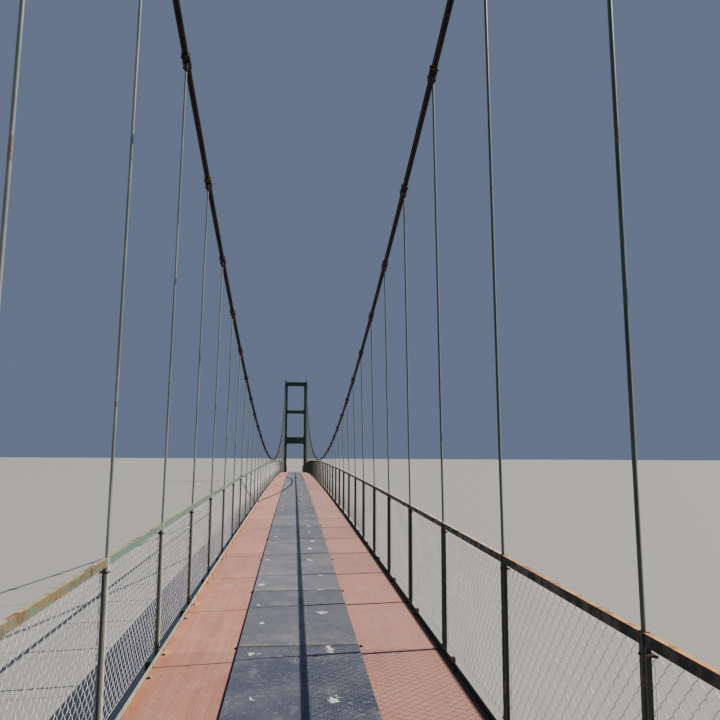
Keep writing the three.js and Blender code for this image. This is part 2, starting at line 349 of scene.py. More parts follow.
def woven_tree():
    """Flat spirals of wire that hook into each other, one standing on each point.

    A spiral takes six steps for each turn, which is one opening high.
    """
    tree = new_tree("woven wire", {
        "Geometry": "Geometry", "Steps": "Int", "Half Width": "Float", "Step Height": "Float",
        "Wire Radius": "Float", "Weave": "Float", "Material": "Material"})
    given = add(tree, "NodeGroupInput").outputs
    line = add(tree, "GeometryNodeMeshLine", {"Count": given["Steps"], "Offset": (0, 0, 0)}).outputs[0]
    index = add(tree, "GeometryNodeInputIndex").outputs[0]
    step = add(tree, "ShaderNodeMath", {0: index, 1: 0.5}, operation="ADD").outputs[0]
    turn = add(tree, "ShaderNodeMath", {0: step, 1: math.pi / 3}, operation="MULTIPLY").outputs[0]
    swing = add(tree, "ShaderNodeMath", {0: turn}, operation="SINE").outputs[0]
    # The arcsine makes the wire straight from bend to bend, and the 0.98 keeps the bends round.
    eased = add(tree, "ShaderNodeMath", {0: swing, 1: 0.98}, operation="MULTIPLY").outputs[0]
    straight = add(tree, "ShaderNodeMath", {0: eased}, operation="ARCSINE").outputs[0]
    side = add(tree, "ShaderNodeMath", {
        0: straight, 1: 1 / math.asin(0.98)}, operation="MULTIPLY").outputs[0]
    along = add(tree, "ShaderNodeMath", {
        0: side, 1: given["Half Width"]}, operation="MULTIPLY").outputs[0]
    front = add(tree, "ShaderNodeMath", {0: turn}, operation="COSINE").outputs[0]
    across = add(tree, "ShaderNodeMath", {0: front, 1: given["Weave"]}, operation="MULTIPLY").outputs[0]
    up = add(tree, "ShaderNodeMath", {0: step, 1: given["Step Height"]}, operation="MULTIPLY").outputs[0]
    spot = add(tree, "ShaderNodeCombineXYZ", {"X": across, "Y": along, "Z": up}).outputs[0]
    bent = add(tree, "GeometryNodeSetPosition", {"Geometry": line, "Position": spot}).outputs[0]
    path = add(tree, "GeometryNodeMeshToCurve", {"Mesh": bent}).outputs[0]
    ring = add(tree, "GeometryNodeCurvePrimitiveCircle", {
        "Resolution": 4, "Radius": given["Wire Radius"]}).outputs[0]
    wire = add(tree, "GeometryNodeCurveToMesh", {
        "Curve": path, "Profile Curve": ring, "Fill Caps": True}).outputs[0]
    facing = add(tree, "GeometryNodeInputNamedAttribute", {
        "Name": "turn"}, data_type="FLOAT_VECTOR").outputs[0]
    copies = add(tree, "GeometryNodeInstanceOnPoints", {
        "Points": given["Geometry"], "Instance": wire, "Rotation": facing}).outputs[0]
    real = add(tree, "GeometryNodeRealizeInstances", {"Geometry": copies}).outputs[0]
    painted = add(tree, "GeometryNodeSetMaterial", {
        "Geometry": real, "Material": given["Material"]}).outputs[0]
    add(tree, "NodeGroupOutput", {"Geometry": painted})
    return tree


def copy_at(point, turn=(0, 0, 0), size=(1, 1, 1), tone=0.5):
    """Where one copy stands and how it is turned, sized and shaded."""
    return point, turn, size, tone


def grown(name, tree, copies, inputs):
    """Runs a node tree on the points of the copies and leaves one plain mesh object."""
    points, turns, sizes, tones = zip(*copies)
    mesh = bpy.data.meshes.new(name + " spots")
    mesh.from_pydata([tuple(at(*point)) for point in points], [], [])
    for label, values in (("turn", turns), ("size", sizes)):
        numbers = [number for value in values for number in value]
        mesh.attributes.new(label, "FLOAT_VECTOR", "POINT").data.foreach_set("vector", numbers)
    own = [tone - 0.5 for tone in tones]
    mesh.attributes.new("own tone", "FLOAT", "POINT").data.foreach_set("value", own)
    thing = place(name, mesh)
    modifier = thing.modifiers.new("grow", "NODES")
    modifier.node_group = tree
    for item in tree.interface.items_tree:
        if item.in_out == "INPUT" and item.name in inputs:
            modifier[item.identifier] = inputs[item.name]
    result = bpy.data.meshes.new_from_object(thing.evaluated_get(bpy.context.evaluated_depsgraph_get()))
    if not result.polygons:
        raise RuntimeError(f"no copy of the shape was made for {name}")
    thing.modifiers.clear()
    thing.data = result
    bpy.data.meshes.remove(mesh)
    return thing


def spread(name, shell, copies, material, smooth=0.0):
    """Copies of a shell as one plain mesh object."""
    tree = bpy.data.node_groups.get("spread") or spread_tree()
    shape = bpy.data.objects.new(name + " shape", shell.mesh(name + " shape", 0.0, smooth))
    thing = grown(name, tree, copies, {"Shape": shape, "Scale": 1.0, "Material": material})
    outline = shape.data
    bpy.data.objects.remove(shape)
    bpy.data.meshes.remove(outline)
    return thing


# Materials. Their patterns read Object coordinates, turned into metres of the real bridge. Sizes of
# patches are in those metres. Brush marks and pits of 1 to 3 mm would be too fine to show, so every
# paint's finest bump is drawn 20 to 40 mm wide.

class Finish:
    """A material whose colour is built up in layers, each through a mask."""

    def __init__(self, name, base, roughness, metallic=0.0):
        self.material = bpy.data.materials.new(name)
        self.material.use_nodes = True
        self.tree = self.material.node_tree
        self.shader = self.tree.nodes["Principled BSDF"]
        self.shader.inputs["Roughness"].default_value = roughness
        self.shader.inputs["Metallic"].default_value = metallic
        spot = add(self.tree, "ShaderNodeTexCoord").outputs["Object"]
        self.spot = add(self.tree, "ShaderNodeVectorMath", {
            0: spot, "Scale": 1 / REAL}, operation="SCALE").outputs[0]
        self.colour = tuple(base) + (1.0,)
        self.normal = None

    def stretched(self, x, y, z):
        """The place with each direction multiplied, for streaks."""
        return add(self.tree, "ShaderNodeVectorMath", {
            0: self.spot, 1: (x, y, z)}, operation="MULTIPLY").outputs[0]

    def patches(self, size, low, high, detail=4.0, spot=None):
        """A mask of cloudy patches of about that size.

        It grows from 0 to 1 as the cloud goes from low to high.
        """
        cloud = add(self.tree, "ShaderNodeTexNoise", {
            "Vector": spot or self.spot, "Scale": 1 / size, "Detail": detail, "Roughness": 0.6}).outputs[0]
        return self.between(cloud, low, high)

    def between(self, value, low, high):
        """A mask that grows from 0 to 1 as the value goes from low to high."""
        return add(self.tree, "ShaderNodeMapRange", {
            0: value, 1: low, 2: high}, interpolation_type="SMOOTHSTEP").outputs[0]

    def both(self, first, second):
        """A mask of where both masks are."""
        return add(self.tree, "ShaderNodeMath", {0: first, 1: second}, operation="MULTIPLY").outputs[0]

    def kept(self, label):
        """A number that the mesh keeps, such as tone or wear."""
        return add(self.tree, "ShaderNodeAttribute", attribute_name=label).outputs["Fac"]

    def layer(self, mask, code, strength=1.0):
        """Lays a colour over the others through a mask."""
        if strength != 1.0:
            mask = self.both(mask, strength)
        self.colour = add(self.tree, "ShaderNodeMix", {
            0: mask, 6: self.colour, 7: linear(code) + (1.0,)}, data_type="RGBA").outputs[2]

    def shade(self, mask, low, high):
        """Darkens or lightens the colour, from low where the mask is 0 to high where it is 1."""
        factor = add(self.tree, "ShaderNodeMapRange", {0: mask, 3: low, 4: high}).outputs[0]
        self.colour = add(self.tree, "ShaderNodeVectorMath", {
            0: self.colour, "Scale": factor}, operation="SCALE").outputs[0]

    def bump(self, height, depth, strength):
        """Raises the surface; depth is the height of 1 in millimetres of the real bridge."""
        inputs = {"Height": height, "Strength": strength, "Distance": depth * 0.001 * REAL}
        if self.normal:
            inputs["Normal"] = self.normal
        self.normal = add(self.tree, "ShaderNodeBump", inputs).outputs[0]

    def roughness(self, mask, low, high):
        """Varies the roughness, from low where the mask is 0 to high where it is 1."""
        rough = add(self.tree, "ShaderNodeMapRange", {0: mask, 3: low, 4: high}).outputs[0]
        self.tree.links.new(rough, self.shader.inputs["Roughness"])

    def blots(self, column, first, step, reach, stretch=1.0, stray=0.0):
        """A mask of ragged blots in a row along the bridge, one at every step from the first y on.

        Stretch draws them out along the row, and stray makes them lie off the row and differ in size.
        """
        drift = add(self.tree, "ShaderNodeTexNoise", {
            "Vector": self.spot, "Scale": 0.9, "Detail": 0.0}).outputs
        moved = add(self.tree, "ShaderNodeVectorMath", {
            0: drift["Color"], 1: (stray, 2 * stray, 0), 2: self.spot}, operation="MULTIPLY_ADD").outputs[0]
        x, y, _ = add(self.tree, "ShaderNodeSeparateXYZ", {0: moved}).outputs
        middle = (column + stray / 2, first + stray)
        nearest = add(self.tree, "ShaderNodeMath", {
            0: y, 1: middle[1] + step / 2, 2: middle[1] - step / 2}, operation="WRAP").outputs[0]
        spot = add(self.tree, "ShaderNodeCombineXYZ", {"X": x, "Y": nearest}).outputs[0]
        offset = add(self.tree, "ShaderNodeMapping", {
            "Vector": spot, "Location": (-middle[0], -middle[1] / stretch, 0),
            "Scale": (1, 1 / stretch, 1)}).outputs[0]
        away = add(self.tree, "ShaderNodeVectorMath", {0: offset}, operation="LENGTH").outputs["Value"]
        ragged = add(self.tree, "ShaderNodeMath", {
            0: self.patches(0.045, 0.3, 0.7, 5.0), 1: reach * 1.1, 2: away},
            operation="MULTIPLY_ADD").outputs[0]
        smaller = add(self.tree, "ShaderNodeMath", {
            0: self.patches(0.8, 0.4, 0.6, 0.0), 1: stray * 0.08, 2: ragged},
            operation="MULTIPLY_ADD").outputs[0]
        return self.between(smaller, reach * 1.25, reach * 0.95)

    def done(self):
        """Joins the layers to the shader."""
        if isinstance(self.colour, bpy.types.NodeSocket):
            self.tree.links.new(self.colour, self.shader.inputs["Base Color"])
        else:
            self.shader.inputs["Base Color"].default_value = self.colour
        if self.normal:
            self.tree.links.new(self.normal, self.shader.inputs["Normal"])
        return self.material


def tread(finish):
    """The raised lozenges of rolled tread plate, turned left and right by turns, as a mask.

    They are 25 to 30 mm apart on a real plate, too fine to show, and are drawn 36 mm apart.
    """
    tree = finish.tree
    turned = add(tree, "ShaderNodeMapping", {
        "Vector": finish.spot, "Rotation": (0, 0, math.radians(45)), "Scale": (1 / 0.036,) * 3}).outputs[0]
    cell = add(tree, "ShaderNodeVectorMath", {0: turned}, operation="FLOOR").outputs[0]
    number = add(tree, "ShaderNodeVectorMath", {
        0: cell, 1: (1, 1, 0)}, operation="DOT_PRODUCT").outputs["Value"]
    odd = add(tree, "ShaderNodeMath", {0: number, 1: 1.0}, operation="PINGPONG").outputs[0]
    inside = add(tree, "ShaderNodeVectorMath", {0: turned}, operation="FRACTION").outputs[0]
    centred = add(tree, "ShaderNodeVectorMath", {
        0: inside, 1: (0.5, 0.5, 0.5)}, operation="SUBTRACT").outputs[0]
    a, b, _ = add(tree, "ShaderNodeSeparateXYZ", {0: centred}).outputs
    swapped = add(tree, "ShaderNodeCombineXYZ", {"X": b, "Y": a}).outputs[0]
    lying = add(tree, "ShaderNodeMix", {0: odd, 4: centred, 5: swapped}, data_type="VECTOR").outputs[1]
    oval = add(tree, "ShaderNodeVectorMath", {
        0: lying, 1: (2.2, 6.0, 0.0)}, operation="MULTIPLY").outputs[0]
    away = add(tree, "ShaderNodeVectorMath", {0: oval, 1: oval}, operation="DOT_PRODUCT").outputs["Value"]
    return finish.between(away, 1.0, 0.45)


def plate_paint(base):
    """Red oxide alkyd paint, brushed on rolled tread plate.

    It looks chalky and dusty pink, is trodden thin on the lozenges and goes orange with rust along the
    curbs. A dark line along the left of the walking strip is painted shadow, where the strip's shadow
    falls, and so is a dark band under the right curb, where the curb's shadow falls.
    """
    paint = Finish("red oxide paint on tread plate", base, 0.78)
    x = add(paint.tree, "ShaderNodeSeparateXYZ", {0: paint.spot}).outputs[0]
    paint.layer(paint.patches(0.9, 0.38, 0.66), "C98F7E")
    streak = paint.patches(1.0, 0.42, 0.62, spot=paint.stretched(22.0, 0.8, 1.0))
    paint.layer(streak, "B07866", 0.5)
    paint.layer(paint.patches(0.35, 0.5, 0.72, 6.0), "D0B0A2", 0.45)
    paint.layer(paint.kept("wear_and_light"), "E0B2A5", 0.55)
    paint.layer(paint.both(paint.between(x, -1.12, -1.25), paint.patches(0.3, 0.3, 0.6)), "CC7B4C", 0.85)
    paint.layer(paint.both(paint.between(x, 0.95, 1.2), paint.patches(0.3, 0.36, 0.6)), "CC8054", 0.75)
    paint.layer(paint.patches(0.2, 0.5, 0.7, 6.0, paint.stretched(1.0, 0.3, 1.0)), "A5776A", 0.35)
    paint.layer(paint.patches(0.14, 0.62, 0.74, 6.0, paint.stretched(1.0, 0.55, 1.0)), "8A5442", 0.35)
    paint.layer(paint.between(x, 0.3, 0.8), "C49E98", 0.4)
    paint.layer(paint.blots(-1.24, -34.0, BAY, 0.09, 1.4), "E2BD7A", 0.8)
    paint.layer(paint.blots(-1.24, -34.68, BAY, 0.05), "DDB070", 0.7)
    # Painted shadow: a dark line beside the walking strip's left edge, where the strip's shadow falls.
    paint.layer(paint.both(paint.between(x, -0.622, -0.612), paint.between(x, -0.58, -0.59)), "2B1C19", 0.9)
    # Painted shadow: a dark band along the inside of the right curb, where the curb's shadow falls.
    paint.layer(paint.between(x, 1.19, 1.21), "2E1F1B", 0.85)
    paint.shade(paint.kept("tone"), 0.9, 1.08)
    lozenges = tread(paint)
    paint.shade(lozenges, 0.86, 1.3)
    paint.roughness(streak, 0.84, 0.65)
    paint.bump(lozenges, 2.0, 1.0)
    paint.bump(paint.patches(0.02, 0.3, 0.7, 3.0), 0.6, 0.4)
    return paint.done()


def strip_paint(base, length):
    """Blue-grey deck paint on thin tread plate, brushed on and trodden smooth down the middle of the deck.

    It looks dull slate, cloudy with dust, flecked with white and splashed with dried mortar. The seams
    between the plates, which are a length apart, are black with dirt and have pale dust behind them. On
    the right of the nearest plate the paint is darkened and its lozenges lightened, as painted shade and
    painted light where the woven wire's shadow falls. The white flecks are 5 to 10 mm wide, too fine to
    show further off, and some are drawn 30 mm wide.
    """
    paint = Finish("worn grey paint on tread plate", base, 0.62, 0.1)
    x, y, _ = add(paint.tree, "ShaderNodeSeparateXYZ", {0: paint.spot}).outputs
    paint.layer(paint.kept("wear_and_light"), "86878C", 0.9)
    paint.layer(paint.patches(0.7, 0.4, 0.64), "6A6F78", 0.6)
    paint.layer(paint.patches(0.25, 0.52, 0.7, 6.0, paint.stretched(1.0, 0.5, 1.0)), "8E9093", 0.5)
    paint.layer(paint.patches(0.12, 0.6, 0.7, 5.0), "3E444D", 0.5)
    past = add(paint.tree, "ShaderNodeMath", {0: y, 1: SEAM + length, 2: SEAM}, operation="WRAP").outputs[0]
    behind = paint.between(past, SEAM + 0.09 * length, SEAM)
    paint.layer(paint.both(behind, paint.patches(0.3, 0.45, 0.61, 5.0)), "A39782", 0.75)
    paint.layer(paint.between(past, SEAM + 0.035, SEAM + 0.02), "1E2126", 0.85)
    paint.shade(paint.kept("tone"), 0.8, 1.45)
    flecked = paint.patches(0.4, 0.5, 0.6)
    paint.layer(paint.patches(0.05, 0.52, 0.66, 6.0, paint.stretched(1.0, 0.6, 1.0)), "7F858D", 0.4)
    paint.layer(paint.both(flecked, paint.patches(0.03, 0.67, 0.71, 2.0)), "B4B8BC", 0.8)
    paint.layer(paint.patches(0.012, 0.79, 0.81, 0.0), "C4C8CA", 0.85)
    for column, step, reach, stretch in ((-0.45, 1.05, 0.06, 1.3), (0.22, 1.25, 0.065, 2.2)):
        paint.layer(paint.blots(column, -35.2, step, reach, stretch, 0.3), "F8F9F6")
    lozenges = tread(paint)
    paint.shade(lozenges, 0.93, 1.12)
    # Painted shade and painted light: on the right of the nearest plate, darker paint with lighter lozenges
    # where the woven wire's shadow falls.
    painted_wire_shadow = paint.both(paint.between(x, -0.03, 0.03), paint.between(y, -34.3, -34.9))
    paint.shade(painted_wire_shadow, 1.0, 0.85)
    paint.shade(paint.both(painted_wire_shadow, lozenges), 1.0, 1.6)
    paint.bump(lozenges, 1.2, 0.6)
    paint.bump(paint.patches(0.03, 0.3, 0.7, 3.0), 0.5, 0.4)
    paint.roughness(paint.patches(0.4, 0.4, 0.65), 0.5, 0.75)
    return paint.done()


def rail_paint(name, base, patches, top, rust, rusting, newer, newer_top):
    """Enamel brushed on rolled angle, coat over coat.

    The face shows patches of older coats. The top is rubbed pale by hands and breaks out in rust. A newer
    coat begins at the first post in view.
    """
    paint = Finish(name, base, 0.5, 0.05)
    for size, low, code, strength in patches:
        older = paint.patches(size, low, low + 0.12, 5.0, paint.stretched(2.0, 1.0, 2.0))
        paint.layer(older, code, strength)
    worn_and_lighting = paint.kept("wear_and_light")
    paint.layer(paint.both(worn_and_lighting, paint.patches(0.16, 0.25, 0.5, 6.0)), top, 0.95)
    y = add(paint.tree, "ShaderNodeSeparateXYZ", {0: paint.spot}).outputs[1]
    begun = paint.between(y, -36.02, -35.98)
    paint.layer(paint.both(paint.both(begun, worn_and_lighting), paint.patches(0.3, 0.25, 0.45)), newer_top, 0.8)
    coat = paint.both(begun, paint.between(worn_and_lighting, 1.0, 0.0))
    paint.layer(paint.both(coat, paint.patches(0.5, 0.28, 0.46, 5.0)), newer, 0.9)
    paint.layer(paint.both(worn_and_lighting, paint.patches(0.09, 0.5, 0.62, 6.0)), rust, 0.85)
    paint.layer(paint.patches(0.11, 0.6, 0.68, 6.0), rust, rusting)
    paint.layer(paint.patches(0.04, 0.63, 0.7, 4.0), "4A2C1A", rusting)
    paint.shade(paint.kept("tone"), 0.9, 1.1)
    paint.roughness(paint.patches(0.1, 0.4, 0.6), 0.45, 0.8)
    paint.bump(paint.patches(0.03, 0.35, 0.65, 4.0), 0.8, 0.6)
    return paint.done()


def post_paint(name, base, light, worn_and_lighting, faded):
    """The railing's enamel on the posts and curbs.

    It is dark and dull and streaked with rust by the rain. The faces that the mesh marks, most of all those
    turned to the deck, take the given colour: a pale one on the left, where the sun falls on them, as
    painted light, and a dark one on the right, where they lie in shade, as painted shade. By so much as
    faded says it turns towards that colour along the bridge, which on the left is pale.
    """
    paint = Finish(name, base, 0.55, 0.05)
    y = add(paint.tree, "ShaderNodeSeparateXYZ", {0: paint.spot}).outputs[1]
    paint.layer(paint.patches(0.3, 0.4, 0.62), light, 0.7)
    paint.layer(paint.between(y, -34.0, -10.0), worn_and_lighting, faded)
    runs = paint.patches(0.06, 0.54, 0.68, 5.0, paint.stretched(1.0, 1.0, 0.18))
    paint.layer(runs, "5E4630", 0.4)
    # Painted light on the left's marked faces, where the sun falls; painted shade on the right's, which lie
    # in shade.
    paint.layer(paint.both(paint.kept("wear_and_light"), paint.patches(0.2, 0.2, 0.5)), worn_and_lighting, 0.9)
    paint.layer(paint.patches(0.03, 0.63, 0.7, 4.0), "3A2417", 0.6)
    paint.shade(paint.kept("tone"), 0.88, 1.12)
    paint.bump(paint.patches(0.03, 0.35, 0.65, 4.0), 0.7, 0.6)
    return paint.done()


def rod_steel(name, base, dull):
    """Drawn steel rod, galvanised and painted.

    It has a satin skin with duller lengths and a few rust freckles. The faces that the mesh marks, which
    on the right hangers are the sides towards the sun, are painted with pale zinc as painted light.
    """
    paint = Finish(name, base, 0.3, 0.15)
    paint.layer(paint.patches(0.6, 0.42, 0.6), dull, 0.7)
    # Painted light: the marked faces, on the right hangers the sides towards the sun, are painted pale.
    paint.layer(paint.both(paint.kept("wear_and_light"), paint.patches(0.3, 0.25, 0.45)), "B4B8AC", 0.6)
    paint.layer(paint.patches(0.12, 0.6, 0.7, 5.0), "7A5334", 0.6)
    paint.bump(paint.patches(0.02, 0.35, 0.65, 3.0), 0.3, 0.5)
    return paint.done()


def wire_zinc(base):
    """Hot-dip galvanised wire.

    Its bright zinc catches the sun along a strand, with duller lengths and rust specks. Towards the far
    tower it is painted paler, as painted light where the wire shows bright in the sun, and is made shinier.
    """
    paint = Finish("galvanised wire", base, 0.45)
    y = add(paint.tree, "ShaderNodeSeparateXYZ", {0: paint.spot}).outputs[1]
    shine = add(paint.tree, "ShaderNodeMapRange", {0: y, 1: -32.0, 2: -12.0, 3: 0.25, 4: 0.5}).outputs[0]
    paint.tree.links.new(shine, paint.shader.inputs["Metallic"])
    paint.layer(paint.patches(0.4, 0.42, 0.62), "BEC2C8", 0.6)
    paint.layer(paint.patches(0.06, 0.66, 0.72, 4.0), "84705C", 0.5)
    # Painted light: paler towards the far tower, where the sunlit wire shows bright.
    paint.layer(paint.between(y, -30.0, 10.0), "F6F7F9", 0.95)
    paint.roughness(paint.patches(0.1, 0.4, 0.65), 0.48, 0.62)
    return paint.done()


def rope_steel(base):
    """Stranded steel rope, its grease dried to a black-brown crust.

    A strand is about 10 mm wide, with a dark groove on each side. Along the rope the six strands follow
    each other every 35 mm, as the real ones do.
    """
    paint = Finish("greased wire rope", base, 0.75, 0.2)
    lay = add(paint.tree, "ShaderNodeUVMap", uv_map="lay").outputs[0]
    turns = add(paint.tree, "ShaderNodeVectorMath", {
        0: lay, 1: (6, 1 / 0.035, 0)}, operation="DOT_PRODUCT").outputs["Value"]
    strand = add(paint.tree, "ShaderNodeMath", {0: turns, 1: 0.5}, operation="PINGPONG").outputs[0]
    paint.layer(paint.patches(0.5, 0.45, 0.62), "2E211B", 0.8)
    paint.layer(paint.patches(0.12, 0.58, 0.7, 5.0), "46302A", 0.5)
    paint.shade(paint.between(strand, 0.0, 0.3), 0.45, 1.15)
    paint.bump(paint.between(strand, 0.0, 0.35), 4.0, 0.9)
    return paint.done()


def cast_iron(name, base, rust):
    """Sand-cast and forged iron.

    It has a rough brown-black skin with rust in the hollows and grey where it is rubbed. The grain of the
    sand is finer than 1 mm, too fine to show, and is drawn 12 mm wide.
    """
    paint = Finish(name, base, 0.72, 0.3)
    paint.layer(paint.patches(0.15, 0.42, 0.6, 5.0), rust, 0.8)
    paint.layer(paint.patches(0.05, 0.6, 0.68, 4.0), "9C8A74", 0.4)
    paint.shade(paint.kept("tone"), 0.85, 1.15)
    paint.bump(paint.patches(0.012, 0.3, 0.7, 3.0), 0.8, 0.7)
    return paint.done()


def tower_enamel(base):
    """Dark green enamel brushed on plate and rolled sections.

    It is faded in clouds, and dirt and rust streak down it.
    """
    paint = Finish("dark green enamel", base, 0.5, 0.05)
    paint.layer(paint.patches(1.1, 0.42, 0.62), "3A5A4C", 0.7)
    paint.layer(paint.patches(0.1, 0.5, 0.64, 5.0, paint.stretched(1.0, 1.0, 0.08)), "22382F", 0.7)
    paint.layer(paint.patches(0.12, 0.6, 0.7, 5.0, paint.stretched(1.0, 1.0, 0.2)), "6A4228", 0.75)
    paint.layer(paint.patches(0.25, 0.6, 0.72, 6.0), "7C8E7C", 0.45)
    paint.roughness(paint.patches(0.3, 0.4, 0.65), 0.42, 0.7)
    paint.bump(paint.patches(0.04, 0.35, 0.65, 4.0), 0.8, 0.5)
    return paint.done()


def beam_primer(base):
    """Brown primer on rolled beams under the deck.

    It is flat and dark, with patches of scaly rust and dirt in clouds.
    """
    paint = Finish("brown primer on rolled beams", base, 0.8, 0.1)
    paint.layer(paint.patches(0.6, 0.42, 0.62), "523A2E", 0.8)
    paint.layer(paint.patches(0.12, 0.54, 0.66, 6.0), "70462C", 0.7)
    paint.layer(paint.patches(0.3, 0.6, 0.72, 4.0), "2C211D", 0.7)
    paint.bump(paint.patches(0.03, 0.35, 0.65, 4.0), 1.0, 0.6)
    return paint.done()


def board_concrete(base):
    """Concrete cast against boards 150 mm wide.

    It is grey and rough, with board lines, blown holes, rain stains and lichen. The blown holes, 5 to 10 mm
    wide, and the sand's grain would be too fine to show, and are drawn 30 and 20 mm wide.
    """
    paint = Finish("board-marked concrete", base, 0.9)
    z = add(paint.tree, "ShaderNodeSeparateXYZ", {0: paint.spot}).outputs[2]
    edge = add(paint.tree, "ShaderNodeMath", {0: z, 1: 0.075}, operation="PINGPONG").outputs[0]
    paint.layer(paint.patches(0.8, 0.4, 0.64), "8C887D", 0.9)
    paint.layer(paint.patches(0.12, 0.45, 0.75, 5.0, paint.stretched(1.0, 1.0, 0.1)), "77736A", 0.6)
    paint.layer(paint.between(edge, 0.0045, 0.0), "6E6A61", 0.7)
    paint.layer(paint.patches(0.03, 0.66, 0.72, 2.0), "5A564E", 0.7)
    paint.layer(paint.patches(0.25, 0.62, 0.74, 6.0), "B9B48F", 0.5)
    paint.bump(paint.between(edge, 0.0, 0.0075), 3.0, 0.7)
    paint.bump(paint.patches(0.02, 0.3, 0.7, 4.0), 1.5, 0.5)
    return paint.done()


def pale_floor(base):
    """A plain pale studio floor, matt and even."""
    return Finish("pale floor", base, 0.9).done()


# The bridge's settings in the sidebar

class FootbridgeSizes(bpy.types.PropertyGroup):
    """Sizes of the real bridge that a user may change."""

    plate_gap: FloatProperty(
        name="Plate gap", description="Open joint between two deck plates",
        default=0.0015, min=0.0, max=0.02, unit="LENGTH")
    strip_plate: FloatProperty(
        name="Strip plate length", description="Length of one plate of the walking strip",
        default=2.55, min=1.0, max=6.0, unit="LENGTH")
    strip_shift: FloatProperty(
        name="Strip shift", description="How far the walking strip lies to the right",
        default=-0.04, min=-0.1, max=0.1, unit="LENGTH")
    wire: FloatProperty(
        name="Wire diameter", description="Diameter of the woven wire",
        default=0.0036, min=0.001, max=0.008, unit="LENGTH")
    opening: FloatProperty(
        name="Mesh opening", description="Diagonal of one opening of the woven wire",
        default=0.095, min=0.04, max=0.15, unit="LENGTH")
    weave: FloatProperty(
        name="Mesh depth", description="How deep the woven wire's spirals are",
        default=0.015, min=0.004, max=0.03, unit="LENGTH")
    hanger: FloatProperty(
        name="Hanger diameter", description="Diameter of a hanger rod",
        default=0.022, min=0.01, max=0.04, unit="LENGTH")


def swatch(name, description, code):
    """A colour that a user may change."""
    return FloatVectorProperty(
        name=name, description=description, subtype="COLOR", size=3, default=linear(code), min=0.0, max=1.0)


class FootbridgeColours(bpy.types.PropertyGroup):
    """The main colour of each finish."""

    plates: swatch("Deck plates", "Red oxide paint of the deck plates", "CA8472")
    strip: swatch("Walking strip", "Blue-grey paint of the raised strip", "4C5364")
    left_rail: swatch("Left rail", "Enamel of the sunlit rail", "676247")
    # The right rail's enamel is darker than the left's as painted shade.
    right_rail: swatch("Right rail", "Enamel of the shaded rail", "1B2E27")
    left_posts: swatch("Left posts", "Enamel of the left posts and curb", "43544D")
    # The right posts' enamel is darker than the left's as painted shade.
    right_posts: swatch("Right posts", "Enamel of the right posts and curb", "1E2B26")
    left_hangers: swatch("Left hangers", "Skin of the left hanger rods", "929C95")
    # The right hangers' paint is darker than the left's as painted shade.
    right_hangers: swatch("Right hangers", "Paint of the right hanger rods", "475A50")
    wire: swatch("Woven wire", "Zinc of the wire mesh", "DDE0E5")
    ropes: swatch("Main cables", "Grease crust of the ropes", "1A1412")
    towers: swatch("Towers", "Enamel of the towers", "244A3D")
    beams: swatch("Beams", "Primer of the beams under the deck", "43302A")
    concrete: swatch("Concrete", "Concrete of the abutments and anchor blocks", "A29E94")
    floor: swatch("Floor", "The studio floor", "A6A8A3")
    sky: swatch("Sky", "The sky over the stage", "AEC2EA")
    sun: swatch("Sun", "The sun's light", "FFF4E4")


class FootbridgeLight(bpy.types.PropertyGroup):
    """The light on the stage."""

    sun: FloatProperty(
        name="Sun", description="Strength of the sun", default=5.9, min=0.0, max=20.0)
    sky: FloatProperty(
        name="Sky", description="Strength of the sky", default=0.32, min=0.0, max=5.0)
    spread: FloatProperty(
        name="Sun width", description="Angle that the sun fills, which softens its shadows",
        default=math.radians(0.5), min=0.0, max=0.5, unit="ROTATION")


# Operators

class FOOTBRIDGE_OT_stage(bpy.types.Operator):
    """Make the floor, the sky, the sun and the camera"""

    bl_idname = "footbridge.stage"
    bl_label = "Stage"

    def execute(self, context):
        light = context.scene.footbridge_light
        colours = context.scene.footbridge_colours
        world = bpy.data.worlds.new("sky")
        world.use_nodes = True
        background = world.node_tree.nodes["Background"]
        background.inputs["Color"].default_value = tuple(colours.sky) + (1.0,)
        background.inputs["Strength"].default_value = light.sky
        context.scene.world = world
        lamp = bpy.data.lights.new("sun", "SUN")
        lamp.energy = light.sun
        lamp.angle = light.spread
        lamp.color = colours.sun
        sun = bpy.data.objects.new("sun", lamp)
        # The sun stands on the right, so that the right rail's shadow falls along the walking strip.
        sun.rotation_euler = Vector((-1.17, -0.19, -1)).to_track_quat("-Z", "Y").to_euler()
        context.scene.collection.objects.link(sun)
        mesh = bpy.data.meshes.new("floor")
        far = 60
        corners = [(-far, -far, 0), (far, -far, 0), (far, far, 0), (-far, far, 0)]
        mesh.from_pydata(corners, [], [(0, 1, 2, 3)])
        place("floor", mesh, pale_floor(colours.floor))
        self.camera(context.scene)
        return {"FINISHED"}

    def camera(self, scene):
        """A walker's eye 1.9 m above the deck, 9 m on from the near tower and looking to the far one.

        Its place, its angles in degrees and its focal length come from fitting them to the photograph.
        """
        data = bpy.data.cameras.new("camera")
        data.lens = 36.5
        data.sensor_width = 36
        data.clip_start = 0.005
        data.clip_end = 200
        pitch, yaw, roll = (math.radians(v) for v in (7.4422, 5.0843, 0.2669))
        flat = math.cos(pitch)
        ahead = Vector((math.sin(yaw) * flat, math.cos(yaw) * flat, math.sin(pitch)))
        level = Vector((math.cos(yaw), -math.sin(yaw), 0))
        steep = level.cross(ahead)
        right = math.cos(roll) * level + math.sin(roll) * steep
        up = math.cos(roll) * steep - math.sin(roll) * level
        turn = Matrix((right, up, -ahead)).transposed().to_4x4()
        eye = bpy.data.objects.new("camera", data)
        eye.matrix_world = Matrix.Translation(at(-0.1129, -40.9464, 2.1132)) @ turn
        scene.collection.objects.link(eye)
        scene.camera = eye


